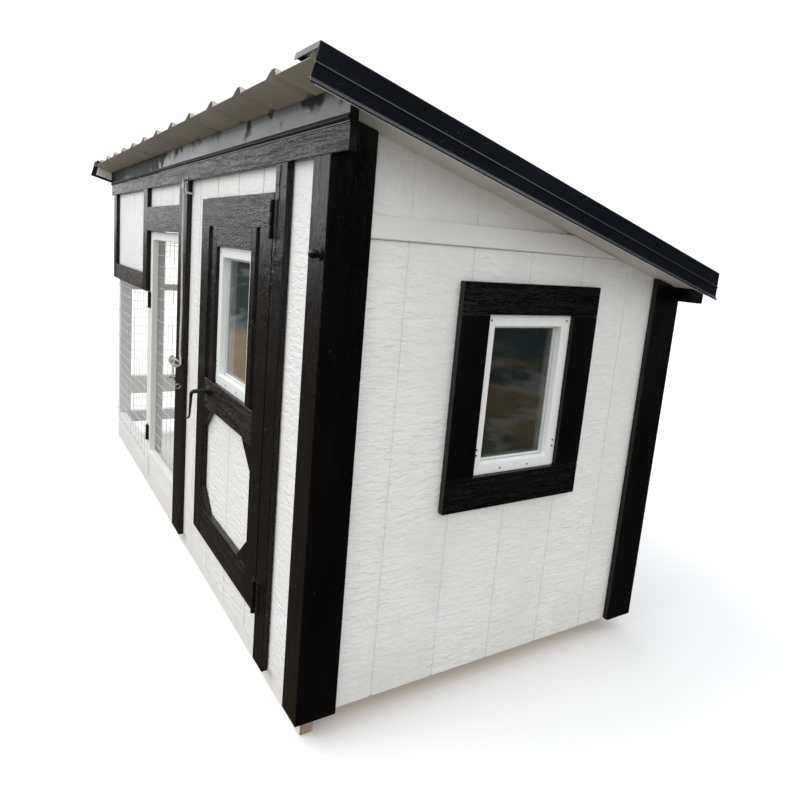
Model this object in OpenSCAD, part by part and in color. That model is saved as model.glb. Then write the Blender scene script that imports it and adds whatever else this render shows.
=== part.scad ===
// Chicken coop with an attached run, both under one lean-to roof.
// Origin on the ground at the middle of the footprint; +Z up, the door side faces -Y.
// All lengths in millimetres.

/* [Part shown] */
// Name of the node to draw, or "all"

/* [Walls] */
// Length of the wall frames along X
frame_l = 2721; // [2400:1:3300]
// Depth of the wall frames along Y
frame_d = 1229; // [1000:1:1500]
// Thickness of the grooved siding panels
siding_t = 9.5; // [6:0.5:16]
// Spacing of the siding grooves
groove_pitch = 203.2; // [100:0.1:305]
// Width of a siding groove
groove_w = 8; // [2:0.5:10]
// Depth of a siding groove
groove_t = 3; // [1:0.5:4]
// Thickness of the trim boards
trim_t = 19; // [12:1:25]
// Width of the boards wrapped round the corners
corner_w = 116; // [80:1:140]
// Depth of the wall studs
stud_d = 64; // [38:1:89]
// Thickness of sawn framing timber
stud_t = 38; // [30:1:45]

/* [Base] */
// Height of the skids under the frame
skid_h = 89; // [60:1:140]
// Height of the siding above the ground
siding_z = 57; // [20:1:100]
// Height of the coop floor above the ground
floor_z = 190; // [120:1:260]
// Thickness of the floor panel
floor_t = 12; // [9:1:18]
// Height of the sill round the run
sill_z = 157; // [120:1:200]

/* [Roof] */
// Roof pitch in degrees, falling towards the back
roof_pitch = 15; // [8:1:22]
// Height of the soffit plane over the origin
soffit_z = 1370; // [1200:1:1600]
// Length of the roof down the slope, from the middle to its upper end
roof_s = 776; // [700:1:900]
// Depth at which the roof is cut off plumb over the back wall
eave_y = 655; // [650:1:760]
// Spacing of the ribs in the roof sheets
rib_pitch = 228.6; // [150:0.1:305]
// Height of a roof rib
rib_h = 19; // [10:1:30]
// Thickness of the roof sheets
sheet_t = 1.2; // [0.8:0.1:2]

/* [Door] */
// Width of the door
door_w = 645; // [500:1:800]
// Height of the door
door_h = 1186; // [900:1:1400]
// Gap all round the door
door_gap = 4; // [2:0.5:6]
// Width of the door stiles
stile_w = 88; // [60:1:110]
// Side of the triangular blocks in the lower panel
corner_block = 80; // [40:1:120]
// Width of a window opening
window_w = 315; // [200:1:400]
// Height of a window opening
window_h = 450; // [300:1:600]

/* [Run] */
// Spacing of the upright mesh wires
mesh_x = 76.2; // [25:0.1:102]
// Spacing of the level mesh wires
mesh_z = 50.8; // [25:0.1:102]
// Thickness of the mesh wire
wire_t = 2; // [1.5:0.1:3]
// Height of the opening for the birds
pop_h = 350; // [250:1:400]

/* [Hidden] */
black = [0.07, 0.07, 0.08];
white = [0.93, 0.93, 0.92];
galv = [0.72, 0.74, 0.76];
timber = [0.78, 0.63, 0.42];
$fn = 48;

hx = frame_l / 2;
hy = frame_d / 2;
side_y = hy + siding_t;
trim_y = side_y + trim_t;
side_x = hx + siding_t;
trim_x = side_x + trim_t;
header_z = siding_z + 1391;
rear_header_z = siding_z + 1104;

part_x = 175;
jamb_x = 1084;
jamb_w = 74;
post_x = 119;
post_w = 113;
door_x1 = jamb_x - door_gap;
door_x0 = door_x1 - door_w;
door_z0 = siding_z + 135;
door_z1 = door_z0 + door_h;
bay_x0 = -550;
bay_x1 = -466;
run_door_x0 = bay_x1 + door_gap;
run_door_x1 = post_x - door_gap;
run_door_z0 = sill_z + 8;
run_door_z1 = 1256;
run_header_z0 = 1259;
run_header_z1 = 1365;
bay_z0 = 976;
bay_z1 = 1058;
back_bay_z0 = 818;
back_bay_z1 = 900;

header_l = 1468;
fly_t = 14;
rake_x0 = header_l + fly_t;
rake_x1 = rake_x0 + 17;
sheet_n = 36;
soffit_t = 9;
rib_x0 = 1266;
rafter_n = -80;
post_n = rafter_n - 0.2;
purlin_s = [-595, -300, 0, 300, 595];
rafter_x = [-1341.5, -840, -340, part_x, 600, 980, 1341.5];

rail_z = [door_z0, door_z0 + 105, siding_z + 617, siding_z + 717, siding_z + 1167, siding_z + 1231];
side_board_w = [48, 38];
door_win_x0 = door_x0 + 177;
frame_w = 32;
stop_w = 8;
end_win_y0 = -145.5;
end_win_z0 = siding_z + 600;

handle_x = door_x0 + 134;
handle_z = siding_z + 678;
handle_y = -trim_y;
spindle_r = 5;
fit = 0.06;

door_pin_x = jamb_x - 2;
door_pin_y = -trim_y - 6;
run_pin_x = run_door_x0 - 2;
run_pin_y = -side_y - 6;
pin_r = 2.5;
knuckle_r = 5.5;
door_hinge_z = [200, 1260];
door_hinge_h = 100;
run_hinge_z = [245, 898];
run_hinge_h = 76;

bolt_z = siding_z + 615;
bolt_y = -side_y - 9;
bolt_r = 4;

rope_x = 222;
rope_y = -trim_y - 10;
rope_r = 2.5;
sheave_r = 12;
sheave_x = rope_x + sheave_r;
sheave_z = 1430;
rope_hole_z = sheave_z - 26;
cleat_z = 770;
pop_z0 = floor_z + 25;
pop_hw = 150;

// Height of a plane parallel to the roof, n above the soffit plane, at depth y
function roof_z(y, n) = soffit_z - y * tan(roof_pitch) + n / cos(roof_pitch);

// Depth at which a plane n above the soffit plane reaches height z
function roof_y(z, n) = (soffit_z + n / cos(roof_pitch) - z) / tan(roof_pitch);

module box(x, y, z) {
  translate([x[0], y[0], z[0]])
    cube([x[1] - x[0], y[1] - y[0], z[1] - z[0]]);
}

// Prism with its outline in the YZ plane, running along X
module along_x(x, pts) {
  translate([x[0], 0, 0])
    rotate([90, 0, 90])
      linear_extrude(x[1] - x[0])
        polygon(pts);
}

// Prism with its outline in the XZ plane, running along Y
module along_y(y) {
  translate([0, y[1], 0])
    rotate([90, 0, 0])
      linear_extrude(y[1] - y[0])
        children();
}

// Upright board whose top is cut to a plane n above the soffit plane
module to_roof(x, y, z0, n) {
  along_x(x, [
    [y[0], z0],
    [y[1], z0],
    [y[1], roof_z(y[1], n)],
    [y[0], roof_z(y[0], n)]
  ]);
}

module on_roof() {
  translate([0, 0, soffit_z])
    rotate([-roof_pitch, 0, 0])
      children();
}

// Cuts a part of the roof off plumb at its lower end
module plumb_end() {
  difference() {
    children();
    translate([-2000, eave_y, 0])
      cube([4000, 400, 2000]);
  }
}

module both_ends() {
  children();
  mirror([1, 0, 0])
    children();
}

module both_sides_y() {
  children();
  mirror([0, 1, 0])
    children();
}

// Grooves in a wall that faces -Y (dir = -1) or +Y (dir = 1)
module wall_grooves(count_from, count_to, dir) {
  face = dir * side_y;
  for (k = [count_from : count_to])
    translate([hx - k * groove_pitch - groove_w / 2, face - groove_t, 0])
      cube([groove_w, 2 * groove_t, 1700]);
}

/* Base and floor */

module skids() {
  color(timber)
    for (p = [[-hy, 0], [-stud_t / 2, 90], [hy - stud_t, 90]])
      box([p[1] - hx, hx - p[1]], [p[0], p[0] + stud_t], [0, skid_h]);
}

module coop_floor() {
  z = [skid_h, floor_z - floor_t];
  color(timber) {
    union() {
      for (x = [part_x - stud_t / 2, 555, 945, hx - stud_t])
        box([x, x + stud_t], [-hy, hy], z);
      for (y = [-hy, hy - stud_t])
        box([part_x, hx - 1], [y, y + stud_t], z);
    }
    box([part_x - stud_t / 2, hx], [-hy, hy], [floor_z - floor_t, floor_z]);
  }
}

module run_sill() {
  z = [skid_h, sill_z];
  x1 = part_x - stud_t / 2;
  color(white)
    union() {
      box([-hx, x1], [-hy, -hy + stud_t], z);
      box([-hx, x1], [hy - stud_t, hy], z);
      box([-hx, -hx + stud_t], [-hy, hy], z);
    }
}

/* Wall frames */

module post(x, y, z0, n) {
  to_roof([x, x + stud_t], y, z0, n);
}

module front_wall_frame() {
  y = [-hy, -hy + stud_d];
  top = 1467;
  color(timber)
    union() {
      along_x([-hx, hx], [
        [y[0], top],
        [y[1], top],
        [y[1], roof_z(y[1], soffit_t)],
        [y[0], roof_z(y[0], soffit_t)]
      ]);
      for (x = [part_x - stud_t / 2, door_x0 - 80, jamb_x + door_gap, hx - stud_t])
        box([x, x + stud_t], y, [floor_z, top]);
      for (x = [-hx, bay_x0 + 20])
        box([x, x + stud_t], y, [sill_z, top]);
      box([door_x0 - 80, jamb_x + 10], y, [door_z1 + 10, door_z1 + 10 + stud_t]);
      box([bay_x0 + 20, part_x], y, [run_door_z1 + 8, run_door_z1 + 8 + stud_t]);
      box([-hx, bay_x0 + 20], y, [bay_z0 + 4, bay_z0 + 4 + stud_t]);
      for (x = [[part_x, door_x0 - 60], [jamb_x + 20, hx - 10]])
        box(x, y, [floor_z, floor_z + stud_t]);
    }
}

module back_wall_frame() {
  y = [hy - stud_d, hy];
  top = 1152;
  color(timber)
    union() {
      along_x([-hx, hx], [
        [y[0], top],
        [y[1], top],
        [y[1], roof_z(y[1], soffit_t)],
        [y[0], roof_z(y[0], soffit_t)]
      ]);
      for (x = [part_x - stud_t / 2, 560, 950, hx - stud_t])
        box([x, x + stud_t], y, [floor_z, top]);
      for (x = [-hx, -600])
        box([x, x + stud_t], y, [sill_z, top]);
      box([-hx, part_x], y, [back_bay_z0 + 4, back_bay_z0 + 4 + stud_t]);
      box([part_x, hx - 10], y, [floor_z, floor_z + stud_t]);
    }
}

module coop_end_frame() {
  x = [hx - stud_t, hx];
  y0 = end_win_y0 - stud_t;
  y1 = end_win_y0 + window_w;
  inner_y = hy - stud_d;
  color(timber)
    union() {
      box(x, [-inner_y, inner_y], [floor_z, floor_z + stud_t]);
      for (y = [y0, y1])
        to_roof(x, [y, y + stud_t], floor_z, post_n);
      for (z = [end_win_z0 - stud_t, end_win_z0 + window_h])
        box(x, [y0 + 1, y1 + 1], [z, z + stud_t]);
    }
}

module run_end_frame() {
  x = [-hx, -hx + stud_t];
  inner_y = hy - stud_d;
  color(white)
    union() {
      for (y = [-220, 180])
        to_roof(x, [y, y + stud_t], sill_z, post_n);
      box(x, [-inner_y, inner_y], [siding_z + 212, siding_z + 320]);
      box(x, [-inner_y, inner_y], [siding_z + 850, siding_z + 888]);
    }
}

module partition_panel() {
  inner_y = hy - stud_d;
  color(white)
    difference() {
      to_roof([part_x - 6, part_x + 6], [-inner_y, inner_y], floor_z, post_n);
      box([part_x - 10, part_x + 10], [-pop_hw, pop_hw], [pop_z0, pop_z0 + pop_h]);
    }
}

/* Roof */

module roof_framing() {
  inner_y = hy - stud_d;
  color(timber) {
    for (x = rafter_x)
      along_x([x - stud_t / 2, x + stud_t / 2], [
        [-inner_y, roof_z(-inner_y, rafter_n)],
        [inner_y, roof_z(inner_y, rafter_n)],
        [inner_y, roof_z(inner_y, soffit_t)],
        [-inner_y, roof_z(-inner_y, soffit_t)]
      ]);
    on_roof()
      for (s = purlin_s)
        box([-header_l, header_l], [s - 44.5, s + 44.5], [soffit_t, sheet_n]);
  }
}

// One roof sheet with a run of ribs between its low and high edges, each a list of points
module roof_sheet(low, high, first, last) {
  tops = [for (k = [last : -1 : first]) let (c = rib_x0 - k * rib_pitch)
    each [[c - 30, 0], [c - 10, rib_h], [c + 10, rib_h], [c + 30, 0]]];
  line = concat(low, tops, high);
  count = len(line);
  raised = [for (i = [count - 1 : -1 : 0]) [line[i][0], line[i][1] + sheet_t]];
  color([0.72, 0.68, 0.6])
    plumb_end()
      on_roof()
        translate([0, roof_s, sheet_n])
          rotate([90, 0, 0])
            linear_extrude(2 * roof_s - 1)
              polygon(concat(line, raised));
}

module roof_sheets() {
  turn = rake_x0 - 16;
  roof_sheet([[382, 0]], [[turn, 0], [rake_x0, rib_h]], 0, 3);
  roof_sheet([[-532.4, 0]], [[381.8, 0]], 4, 7);
  roof_sheet([[-rake_x0, rib_h], [-turn, 0]], [[-532.6, 0]], 8, 11);
}

module roof_screws() {
  z = sheet_n + sheet_t;
  color(galv)
    on_roof()
      for (k = [0 : 11])
        for (s = purlin_s)
          translate([rib_x0 - k * rib_pitch + 42, s, z])
            union() {
              cylinder(h = 1.5, r = 7);
              cylinder(h = 6, r = 4.6, $fn = 6);
            }
}

module rake_boards() {
  color(white)
    both_ends()
      plumb_end()
        on_roof()
          box([rake_x0, rake_x1], [25 - roof_s, roof_s], [-7, 60]);
}

// Folded metal: top flange, creased face, lower lip and a return under the boards
module rake_trims() {
  x = rake_x1;
  inner = x - 112;
  color(black)
    both_ends()
      plumb_end()
        on_roof()
          union() {
            translate([0, roof_s, 0])
              rotate([90, 0, 0])
                linear_extrude(2 * roof_s)
                  polygon([
                    [inner + 2, 60],
                    [x, 60],
                    [x, -7],
                    [x - 12, -7],
                    [x - 12, -9],
                    [x + 0.5, -9],
                    [x + 5, -16],
                    [x + 5, -18],
                    [x + 7, -18],
                    [x + 7, -15],
                    [x + 2, -7],
                    [x + 2, 17],
                    [x + 5, 19],
                    [x + 5, 21],
                    [x + 2, 23],
                    [x + 2, 62],
                    [inner, 62],
                    [inner, 52],
                    [inner + 2, 52]
                  ]);
            box([inner, x + 2], [-roof_s - 1.2, 1 - roof_s], [48, 62]);
          }
}

module fly_boards() {
  color(white)
    both_ends()
      plumb_end()
        on_roof()
          box([header_l, rake_x0], [25 - roof_s, roof_s], [-7, sheet_n]);
}

module soffit_boards() {
  color(white)
    both_ends()
      on_roof()
        box([side_x, header_l], [-644, 638], [0, soffit_t]);
}

module header_boards() {
  x = [-header_l, header_l];
  color(black) {
    to_roof(x, [-trim_y, -side_y], header_z, sheet_n - 1);
    to_roof(x, [side_y, trim_y], rear_header_z, soffit_t - 1);
  }
}

module eave_fascia() {
  y = -trim_y;
  z = siding_z + 1448;
  color(black)
    along_x([-header_l, header_l], [
      [y, roof_z(y, sheet_n - 1)],
      [y - 2, roof_z(y - 2, sheet_n - 1)],
      [y - 2, z + 17],
      [y - 7, z + 8],
      [y - 7, z + 7],
      [y - 2, z + 2],
      [y - 2, z - 1],
      [y, z - 1]
    ]);
}

/* Siding */

module end_siding() {
  seam = siding_z + 1219;
  top = soffit_t - 1;
  color(white)
    difference() {
      along_x([hx, side_x], [
        [-hy, siding_z],
        [hy, siding_z],
        [hy, roof_z(hy, top)],
        [roof_y(seam, top), seam],
        [-hy, seam]
      ]);
      box([hx - 1, side_x + 1],
          [end_win_y0, end_win_y0 + window_w],
          [end_win_z0, end_win_z0 + window_h]);
      for (k = [1 : 5])
        box([side_x - groove_t, side_x + 1],
            [-hy + k * groove_pitch - groove_w / 2, -hy + k * groove_pitch + groove_w / 2],
            [0, 1700]);
    }
}

module gable_siding() {
  seam = siding_z + 1220;
  top = soffit_t - 1;
  color(white)
    difference() {
      along_x([hx, side_x], [
        [-hy, seam],
        [roof_y(seam, top), seam],
        [-hy, roof_z(-hy, top)]
      ]);
      for (k = [1 : 4])
        box([side_x - groove_t, side_x + 1],
            [-hy + k * groove_pitch - groove_w / 2, -hy + k * groove_pitch + groove_w / 2],
            [0, 1700]);
    }
}

module gable_band() {
  z0 = siding_z + 1222;
  z1 = siding_z + 1276;
  y0 = corner_w - trim_y;
  color(white)
    along_x([side_x, side_x + 12], [
      [y0, z0],
      [roof_y(z0, -1), z0],
      [roof_y(z1, -1), z1],
      [y0, z1]
    ]);
}

module front_siding_coop() {
  color(white)
    difference() {
      to_roof([post_x, side_x], [-side_y, -hy], siding_z + 9, soffit_t - 1);
      box([door_x0 - door_gap, jamb_x],
          [-side_y - 1, -hy + 1],
          [door_z0 - door_gap, door_z1 + door_gap]);
      wall_grooves(1, 6, -1);
      along_y([-side_y - 1, -hy + 1])
        translate([sheave_x + sheave_r, rope_hole_z])
          circle(r = 6);
    }
}

module front_siding_run() {
  color(white)
    difference() {
      union() {
        to_roof([-hx, post_x - 0.5], [-side_y, -hy], bay_z0 + 14, soffit_t - 1);
        box([bay_x1 - stud_t, bay_x1], [-side_y, -hy], [siding_z + 9, bay_z0 + 15]);
      }
      box([bay_x1, post_x], [-side_y - 1, -hy + 1], [900, run_header_z0]);
      wall_grooves(7, 13, -1);
    }
}

module back_siding() {
  color(white)
    difference() {
      union() {
        to_roof([post_x, side_x], [hy, side_y], siding_z + 9, soffit_t - 1);
        to_roof([-hx, post_x - 0.5], [hy, side_y], back_bay_z0 + 14, soffit_t - 1);
      }
      wall_grooves(1, 13, 1);
    }
}

/* Trim boards */

// Board across a corner end: front = -1 or rear = 1, cut to the roof and round the header
module corner_end_board(x, side, z0, head_z) {
  inner = side * (trim_y - corner_w);
  along_x(x, [
    [side * trim_y, z0],
    [inner, z0],
    [inner, roof_z(inner, -1)],
    [side * side_y, roof_z(side * side_y, -1)],
    [side * side_y, head_z],
    [side * trim_y, head_z]
  ]);
}

module corner_boards_near() {
  x = [trim_x - 85, side_x];
  color(black) {
    union() {
      box(x, [-trim_y, -side_y], [siding_z, header_z]);
      corner_end_board([side_x, trim_x], -1, siding_z, header_z);
    }
    union() {
      box(x, [side_y, trim_y], [siding_z, rear_header_z]);
      corner_end_board([side_x, trim_x], 1, siding_z, rear_header_z);
    }
  }
}

module corner_boards_far() {
  x = [-hx - 2.5, 85 - trim_x];
  color(black) {
    union() {
      box(x, [-trim_y, -side_y], [bay_z0, header_z]);
      corner_end_board([x[0] - trim_t, x[0]], -1, bay_z0, header_z);
    }
    union() {
      box(x, [side_y, trim_y], [back_bay_z0, rear_header_z]);
      corner_end_board([x[0] - trim_t, x[0]], 1, back_bay_z0, rear_header_z);
    }
  }
}

module door_jamb_board() {
  color(black)
    box([jamb_x, jamb_x + jamb_w], [-trim_y, -side_y], [siding_z, header_z]);
}

module rope_post_board() {
  color(black)
    difference() {
      box([post_x, post_x + post_w], [-trim_y, -side_y], [siding_z, header_z]);
      translate([post_x - 1, bolt_y, bolt_z])
        rotate([0, 90, 0])
          cylinder(h = 31, r = bolt_r + fit);
    }
}

module run_header_trim() {
  color(black)
    box([bay_x1, post_x], [-trim_y, -side_y], [run_header_z0, run_header_z1]);
}

module bay_trim_boards() {
  y = [-trim_y, -side_y];
  color(black) {
    box([bay_x0, bay_x1], y, [bay_z0, header_z]);
    box([85 - trim_x, bay_x0 - 0.3], y, [bay_z0, bay_z1]);
  }
}

module back_trim_boards() {
  color(black) {
    box([post_x, post_x + post_w], [side_y, trim_y], [siding_z, rear_header_z]);
    box([85 - trim_x, post_x - 0.5], [side_y, trim_y], [back_bay_z0, back_bay_z1]);
  }
}

/* Windows, drawn in the XZ plane facing -Y with the siding face at y = 0 */

module window_ring(w, h, edge) {
  difference() {
    square([w, h]);
    translate([edge, edge])
      square([w - 2 * edge, h - 2 * edge]);
  }
}

module window_frame(depth) {
  inner = frame_w;
  color(white)
    union() {
      along_y([-7, depth])
        window_ring(window_w, window_h, inner);
      along_y([24, depth])
        translate([inner - 1, inner - 1])
          window_ring(window_w - 2 * inner + 2, window_h - 2 * inner + 2, stop_w + 1);
    }
}

module window_glass() {
  color([0.35, 0.42, 0.45])
    along_y([19, 24])
      translate([frame_w + 0.5, frame_w + 0.5])
        square([window_w - 2 * frame_w - 1, window_h - 2 * frame_w - 1]);
}

module at_end_window() {
  translate([side_x, end_win_y0, end_win_z0])
    rotate([0, 0, 90])
      children();
}

module at_door_window() {
  translate([door_win_x0, -side_y - 2, rail_z[3]])
    children();
}

module end_window_frame() {
  at_end_window()
    window_frame(45);
}

module end_window_glass() {
  at_end_window()
    window_glass();
}

module end_window_trim() {
  side = 96;
  z = [end_win_z0 - side, end_win_z0, end_win_z0 + window_h, end_win_z0 + window_h + 85];
  y = [end_win_y0 - side, end_win_y0, end_win_y0 + window_w, end_win_y0 + window_w + side];
  x = [side_x, trim_x];
  color(black) {
    box(x, [y[0], y[3]], [z[2] + 0.3, z[3]]);
    box(x, [y[0], y[3]], [z[0], z[1] - 0.3]);
    box(x, [y[0], y[1]], [z[1], z[2]]);
    box(x, [y[2], y[3]], [z[1], z[2]]);
  }
}

/* Door */

module spindle_bore(y) {
  translate([handle_x, y, handle_z])
    rotate([-90, 0, 0])
      cylinder(h = 60, r = spindle_r + fit);
}

module door_panel() {
  color(white)
    difference() {
      box([door_x0, door_x1], [-side_y, -hy], [door_z0, door_z1]);
      box([door_win_x0, door_win_x0 + window_w], [-side_y - 1, -hy + 1], [rail_z[3], rail_z[4]]);
      wall_grooves(2, 4, -1);
      spindle_bore(-side_y - 10);
    }
}

module door_stiles() {
  z = [door_z0, rail_z[5]];
  y = [-trim_y, -side_y];
  color(black)
    for (x = [door_x0, door_x1 - stile_w])
      box([x, x + stile_w], y, z);
}

module door_rails() {
  y = [-trim_y, -side_y];
  x = [door_x0 + stile_w, door_x1 - stile_w];
  top = [[door_x0, door_x1], [rail_z[5] + 0.3, door_z1]];
  head = [[door_win_x0, door_win_x0 + window_w], [rail_z[4], rail_z[5]]];
  mid = [x, [rail_z[2], rail_z[3]]];
  low = [x, [rail_z[0], rail_z[1]]];
  color(black)
    difference() {
      for (r = [top, head, mid, low])
        box(r[0], y, r[1]);
      spindle_bore(-trim_y - 10);
    }
}

module door_filler_boards() {
  y = [-trim_y, -side_y];
  z = [rail_z[1], rail_z[2]];
  x = [door_x0 + stile_w, door_x1 - stile_w];
  side_z = [rail_z[3] + 0.3, rail_z[5]];
  b = corner_block;
  color(black) {
    box([door_win_x0 - side_board_w[0], door_win_x0 - 0.3], y, side_z);
    box([door_win_x0 + window_w + 0.3, door_win_x0 + window_w + side_board_w[1]], y, side_z);
    along_y(y) {
      polygon([[x[0], z[0]], [x[0] + b, z[0]], [x[0], z[0] + b]]);
      polygon([[x[1], z[0]], [x[1], z[0] + b], [x[1] - b, z[0]]]);
      polygon([[x[0], z[1]], [x[0], z[1] - b], [x[0] + b, z[1]]]);
      polygon([[x[1], z[1]], [x[1] - b, z[1]], [x[1], z[1] - b]]);
    }
  }
}

module door_window_frame() {
  at_door_window()
    window_frame(31);
}

module door_window_glass() {
  at_door_window()
    window_glass();
}

/* Hinges: pin on the Z axis, boards' face at y = 6, fixed side towards +X */

module knuckle(z0, z1, bore) {
  translate([0, 0, z0])
    difference() {
      cylinder(h = z1 - z0, r = knuckle_r);
      if (bore > 0)
        translate([0, 0, -1])
          cylinder(h = z1 - z0 + 2, r = bore);
    }
}

module hinge_fixed(h) {
  third = h / 3;
  union() {
    knuckle(0, third - 0.3, 0);
    knuckle(2 * third + 0.3, h, 0);
    cylinder(h = h, r = pin_r);
    box([6.2, 24], [4, 6], [0, h]);
    box([0, 7], [4, 5.4], [0, third - 0.3]);
    box([0, 7], [4, 5.4], [2 * third + 0.3, h]);
  }
}

module hinge_moving(h) {
  third = h / 3;
  difference() {
    union() {
      knuckle(third, 2 * third, 0);
      box([-24, -6.2], [4, 6], [0, h]);
      box([-7, 0], [4, 5.4], [third, 2 * third]);
    }
    translate([0, 0, -1])
      cylinder(h = h + 2, r = pin_r + fit);
  }
}

module at_door_hinges() {
  for (z = door_hinge_z)
    translate([door_pin_x, door_pin_y, z])
      children();
}

module at_run_hinges() {
  for (z = run_hinge_z)
    translate([run_pin_x, run_pin_y, z])
      children();
}

module fixed_hinge_leaves() {
  color(black) {
    at_door_hinges()
      hinge_fixed(door_hinge_h);
    at_run_hinges()
      mirror([1, 0, 0])
        hinge_fixed(run_hinge_h);
  }
}

module door_hinge_leaves() {
  color(black)
    at_door_hinges()
      hinge_moving(door_hinge_h);
}

module run_door_hinge_leaves() {
  color(black)
    at_run_hinges()
      mirror([1, 0, 0])
        hinge_moving(run_hinge_h);
}

/* Door handle */

module at_handle() {
  translate([handle_x, handle_y, handle_z])
    rotate([90, 0, 0])
      children();
}

module handle_rose() {
  color(black)
    at_handle()
      difference() {
        cylinder(h = 6, r = 17);
        translate([0, 0, -1])
          cylinder(h = 8, r = spindle_r + fit);
      }
}

module handle_lever() {
  bar_y = -side_y + siding_t + 3;
  color(black)
    union() {
      translate([handle_x, bar_y + 5, handle_z])
        rotate([90, 0, 0])
          cylinder(h = bar_y + 5 + trim_y + 54, r = spindle_r);
      at_handle() {
        translate([0, 0, 8])
          cylinder(h = 46, r = 8);
        translate([0, 0, 48])
          box([-6, 6], [-86, 4], [0, 9]);
        translate([0, -86, 48])
          cylinder(h = 9, r = 6);
      }
      box([handle_x - 10, handle_x + 10], [bar_y, bar_y + 5], [handle_z - 163, handle_z + 12]);
    }
}

/* Run door */

module run_door_frame() {
  x = [run_door_x0, run_door_x1];
  z = [run_door_z0, run_door_z1];
  w = 38;
  color(white)
    along_y([-side_y, -side_y + 28])
      difference() {
        translate([x[0], z[0]])
          square([x[1] - x[0], z[1] - z[0]]);
        translate([x[0] + w, z[0] + w])
          square([x[1] - x[0] - 2 * w, z[1] - z[0] - 2 * w]);
      }
}

// Welded mesh outline: level and upright wires joined into one grid
module mesh_grid(x, z) {
  for (c = [x[0] : mesh_x : x[1]])
    translate([c, z[0]])
      square([wire_t, z[1] - z[0]]);
  for (c = [z[0] : mesh_z : z[1]])
    translate([x[0], c])
      square([x[1] - x[0], wire_t]);
}

module run_door_mesh() {
  y = -side_y + 28;
  color(galv)
    along_y([y, y + wire_t])
      mesh_grid([run_door_x0 + 20, run_door_x1 - 20], [run_door_z0 + 20, run_door_z1 - 20]);
}

module front_bay_mesh() {
  color(galv)
    along_y([-hy - wire_t, -hy])
      mesh_grid([-hx + 15, bay_x0 + 40], [sill_z - 32, bay_z0 + 11]);
}

module rear_run_mesh() {
  inner_y = hy - 15;
  z0 = sill_z - 32;
  color(galv) {
    along_y([hy, hy + wire_t])
      mesh_grid([-hx + 15, post_x - 4], [z0, back_bay_z0 + 11]);
    translate([-hx - wire_t, 0, 0])
      rotate([90, 0, 90])
        linear_extrude(wire_t)
          intersection() {
            mesh_grid([-inner_y, inner_y], [z0, 1600]);
            polygon([
              [-inner_y, 0],
              [inner_y, 0],
              [inner_y, roof_z(inner_y, -40)],
              [-inner_y, roof_z(-inner_y, -40)]
            ]);
          }
  }
}

module run_door_latch_body() {
  x = run_door_x1;
  y = -side_y;
  color(galv)
    difference() {
      union() {
        box([x - 36, x - 1], [y - 2, y], [bolt_z - 14, bolt_z + 14]);
        for (c = [x - 33, x - 9])
          box([c, c + 6], [bolt_y - 6.5, y - 1], [bolt_z - 7, bolt_z + 7]);
      }
      translate([x - 40, bolt_y, bolt_z])
        rotate([0, 90, 0])
          cylinder(h = 50, r = bolt_r + fit);
    }
}

module run_door_latch_bolt() {
  x = run_door_x1;
  color(galv)
    union() {
      translate([x - 66, bolt_y, bolt_z])
        rotate([0, 90, 0])
          cylinder(h = 64, r = bolt_r);
      translate([x - 60, bolt_y, bolt_z])
        rotate([90, 0, 0])
          cylinder(h = 16, r = 3.2);
      translate([x - 60, bolt_y - 16, bolt_z])
        sphere(r = 5);
    }
}

/* Rope that lifts the pop door */

module pulley_bracket() {
  x = [sheave_x - 8, sheave_x + 8];
  y = -trim_y;
  z = sheave_z;
  color(galv)
    union() {
      box(x, [y - 2, y], [z - 26, z + 32]);
      box(x, [y - 17.5, y - 15.5], [z, z + 22]);
      box(x, [y - 17.5, y - 1], [z + 19, z + 22]);
      translate([sheave_x, y - 15.5, z])
        rotate([90, 0, 0])
          cylinder(h = 2, r = 14);
      translate([sheave_x, y - 1, z])
        rotate([90, 0, 0])
          cylinder(h = 15, r = 3);
    }
}

module pulley_sheave() {
  color(galv)
    translate([sheave_x, rope_y, sheave_z])
      rotate([90, 0, 0])
        difference() {
          rotate_extrude()
            difference() {
              translate([0, -4.5])
                square([sheave_r + 1, 9]);
              translate([sheave_r, 0])
                circle(r = rope_r + 0.3);
            }
          translate([0, 0, -10])
            cylinder(h = 20, r = 3 + fit);
        }
}

// The rope runs up the post board, over the sheave and in through the siding
module rope() {
  right_x = sheave_x + sheave_r;
  color(white)
    union() {
      translate([rope_x, rope_y, cleat_z + 14])
        cylinder(h = sheave_z - cleat_z - 14, r = rope_r);
      translate([sheave_x, rope_y, sheave_z])
        rotate([90, 0, 0])
          difference() {
            rotate_extrude()
              translate([sheave_r, 0])
                circle(r = rope_r);
            translate([-30, -30, -10])
              cube([60, 30, 20]);
          }
      translate([right_x, rope_y, rope_hole_z])
        cylinder(h = sheave_z - rope_hole_z, r = rope_r);
      translate([right_x, rope_y, rope_hole_z])
        sphere(r = rope_r);
      translate([right_x, rope_y, rope_hole_z])
        rotate([-90, 0, 0])
          cylinder(h = 50, r = rope_r);
    }
}

module rope_cleat() {
  y = -trim_y;
  x = rope_x - 20;
  color(black)
    union() {
      box([x - 22, x + 22], [y - 4, y], [cleat_z - 10, cleat_z + 10]);
      box([x - 14, x + 14], [y - 20, y - 3], [cleat_z - 7, cleat_z + 7]);
      translate([x - 45, y - 24, cleat_z])
        rotate([0, 90, 0])
          cylinder(h = 90, r = 6);
    }
}

module tie_ring() {
  y = -trim_y;
  color(galv)
    union() {
      translate([rope_x, y, bolt_z])
        rotate([90, 0, 0])
          cylinder(h = 8, r = 2.5);
      translate([rope_x, y - 15, bolt_z])
        rotate([0, 90, 0])
          rotate_extrude()
            translate([9, 0])
              circle(r = 2);
    }
}

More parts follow.
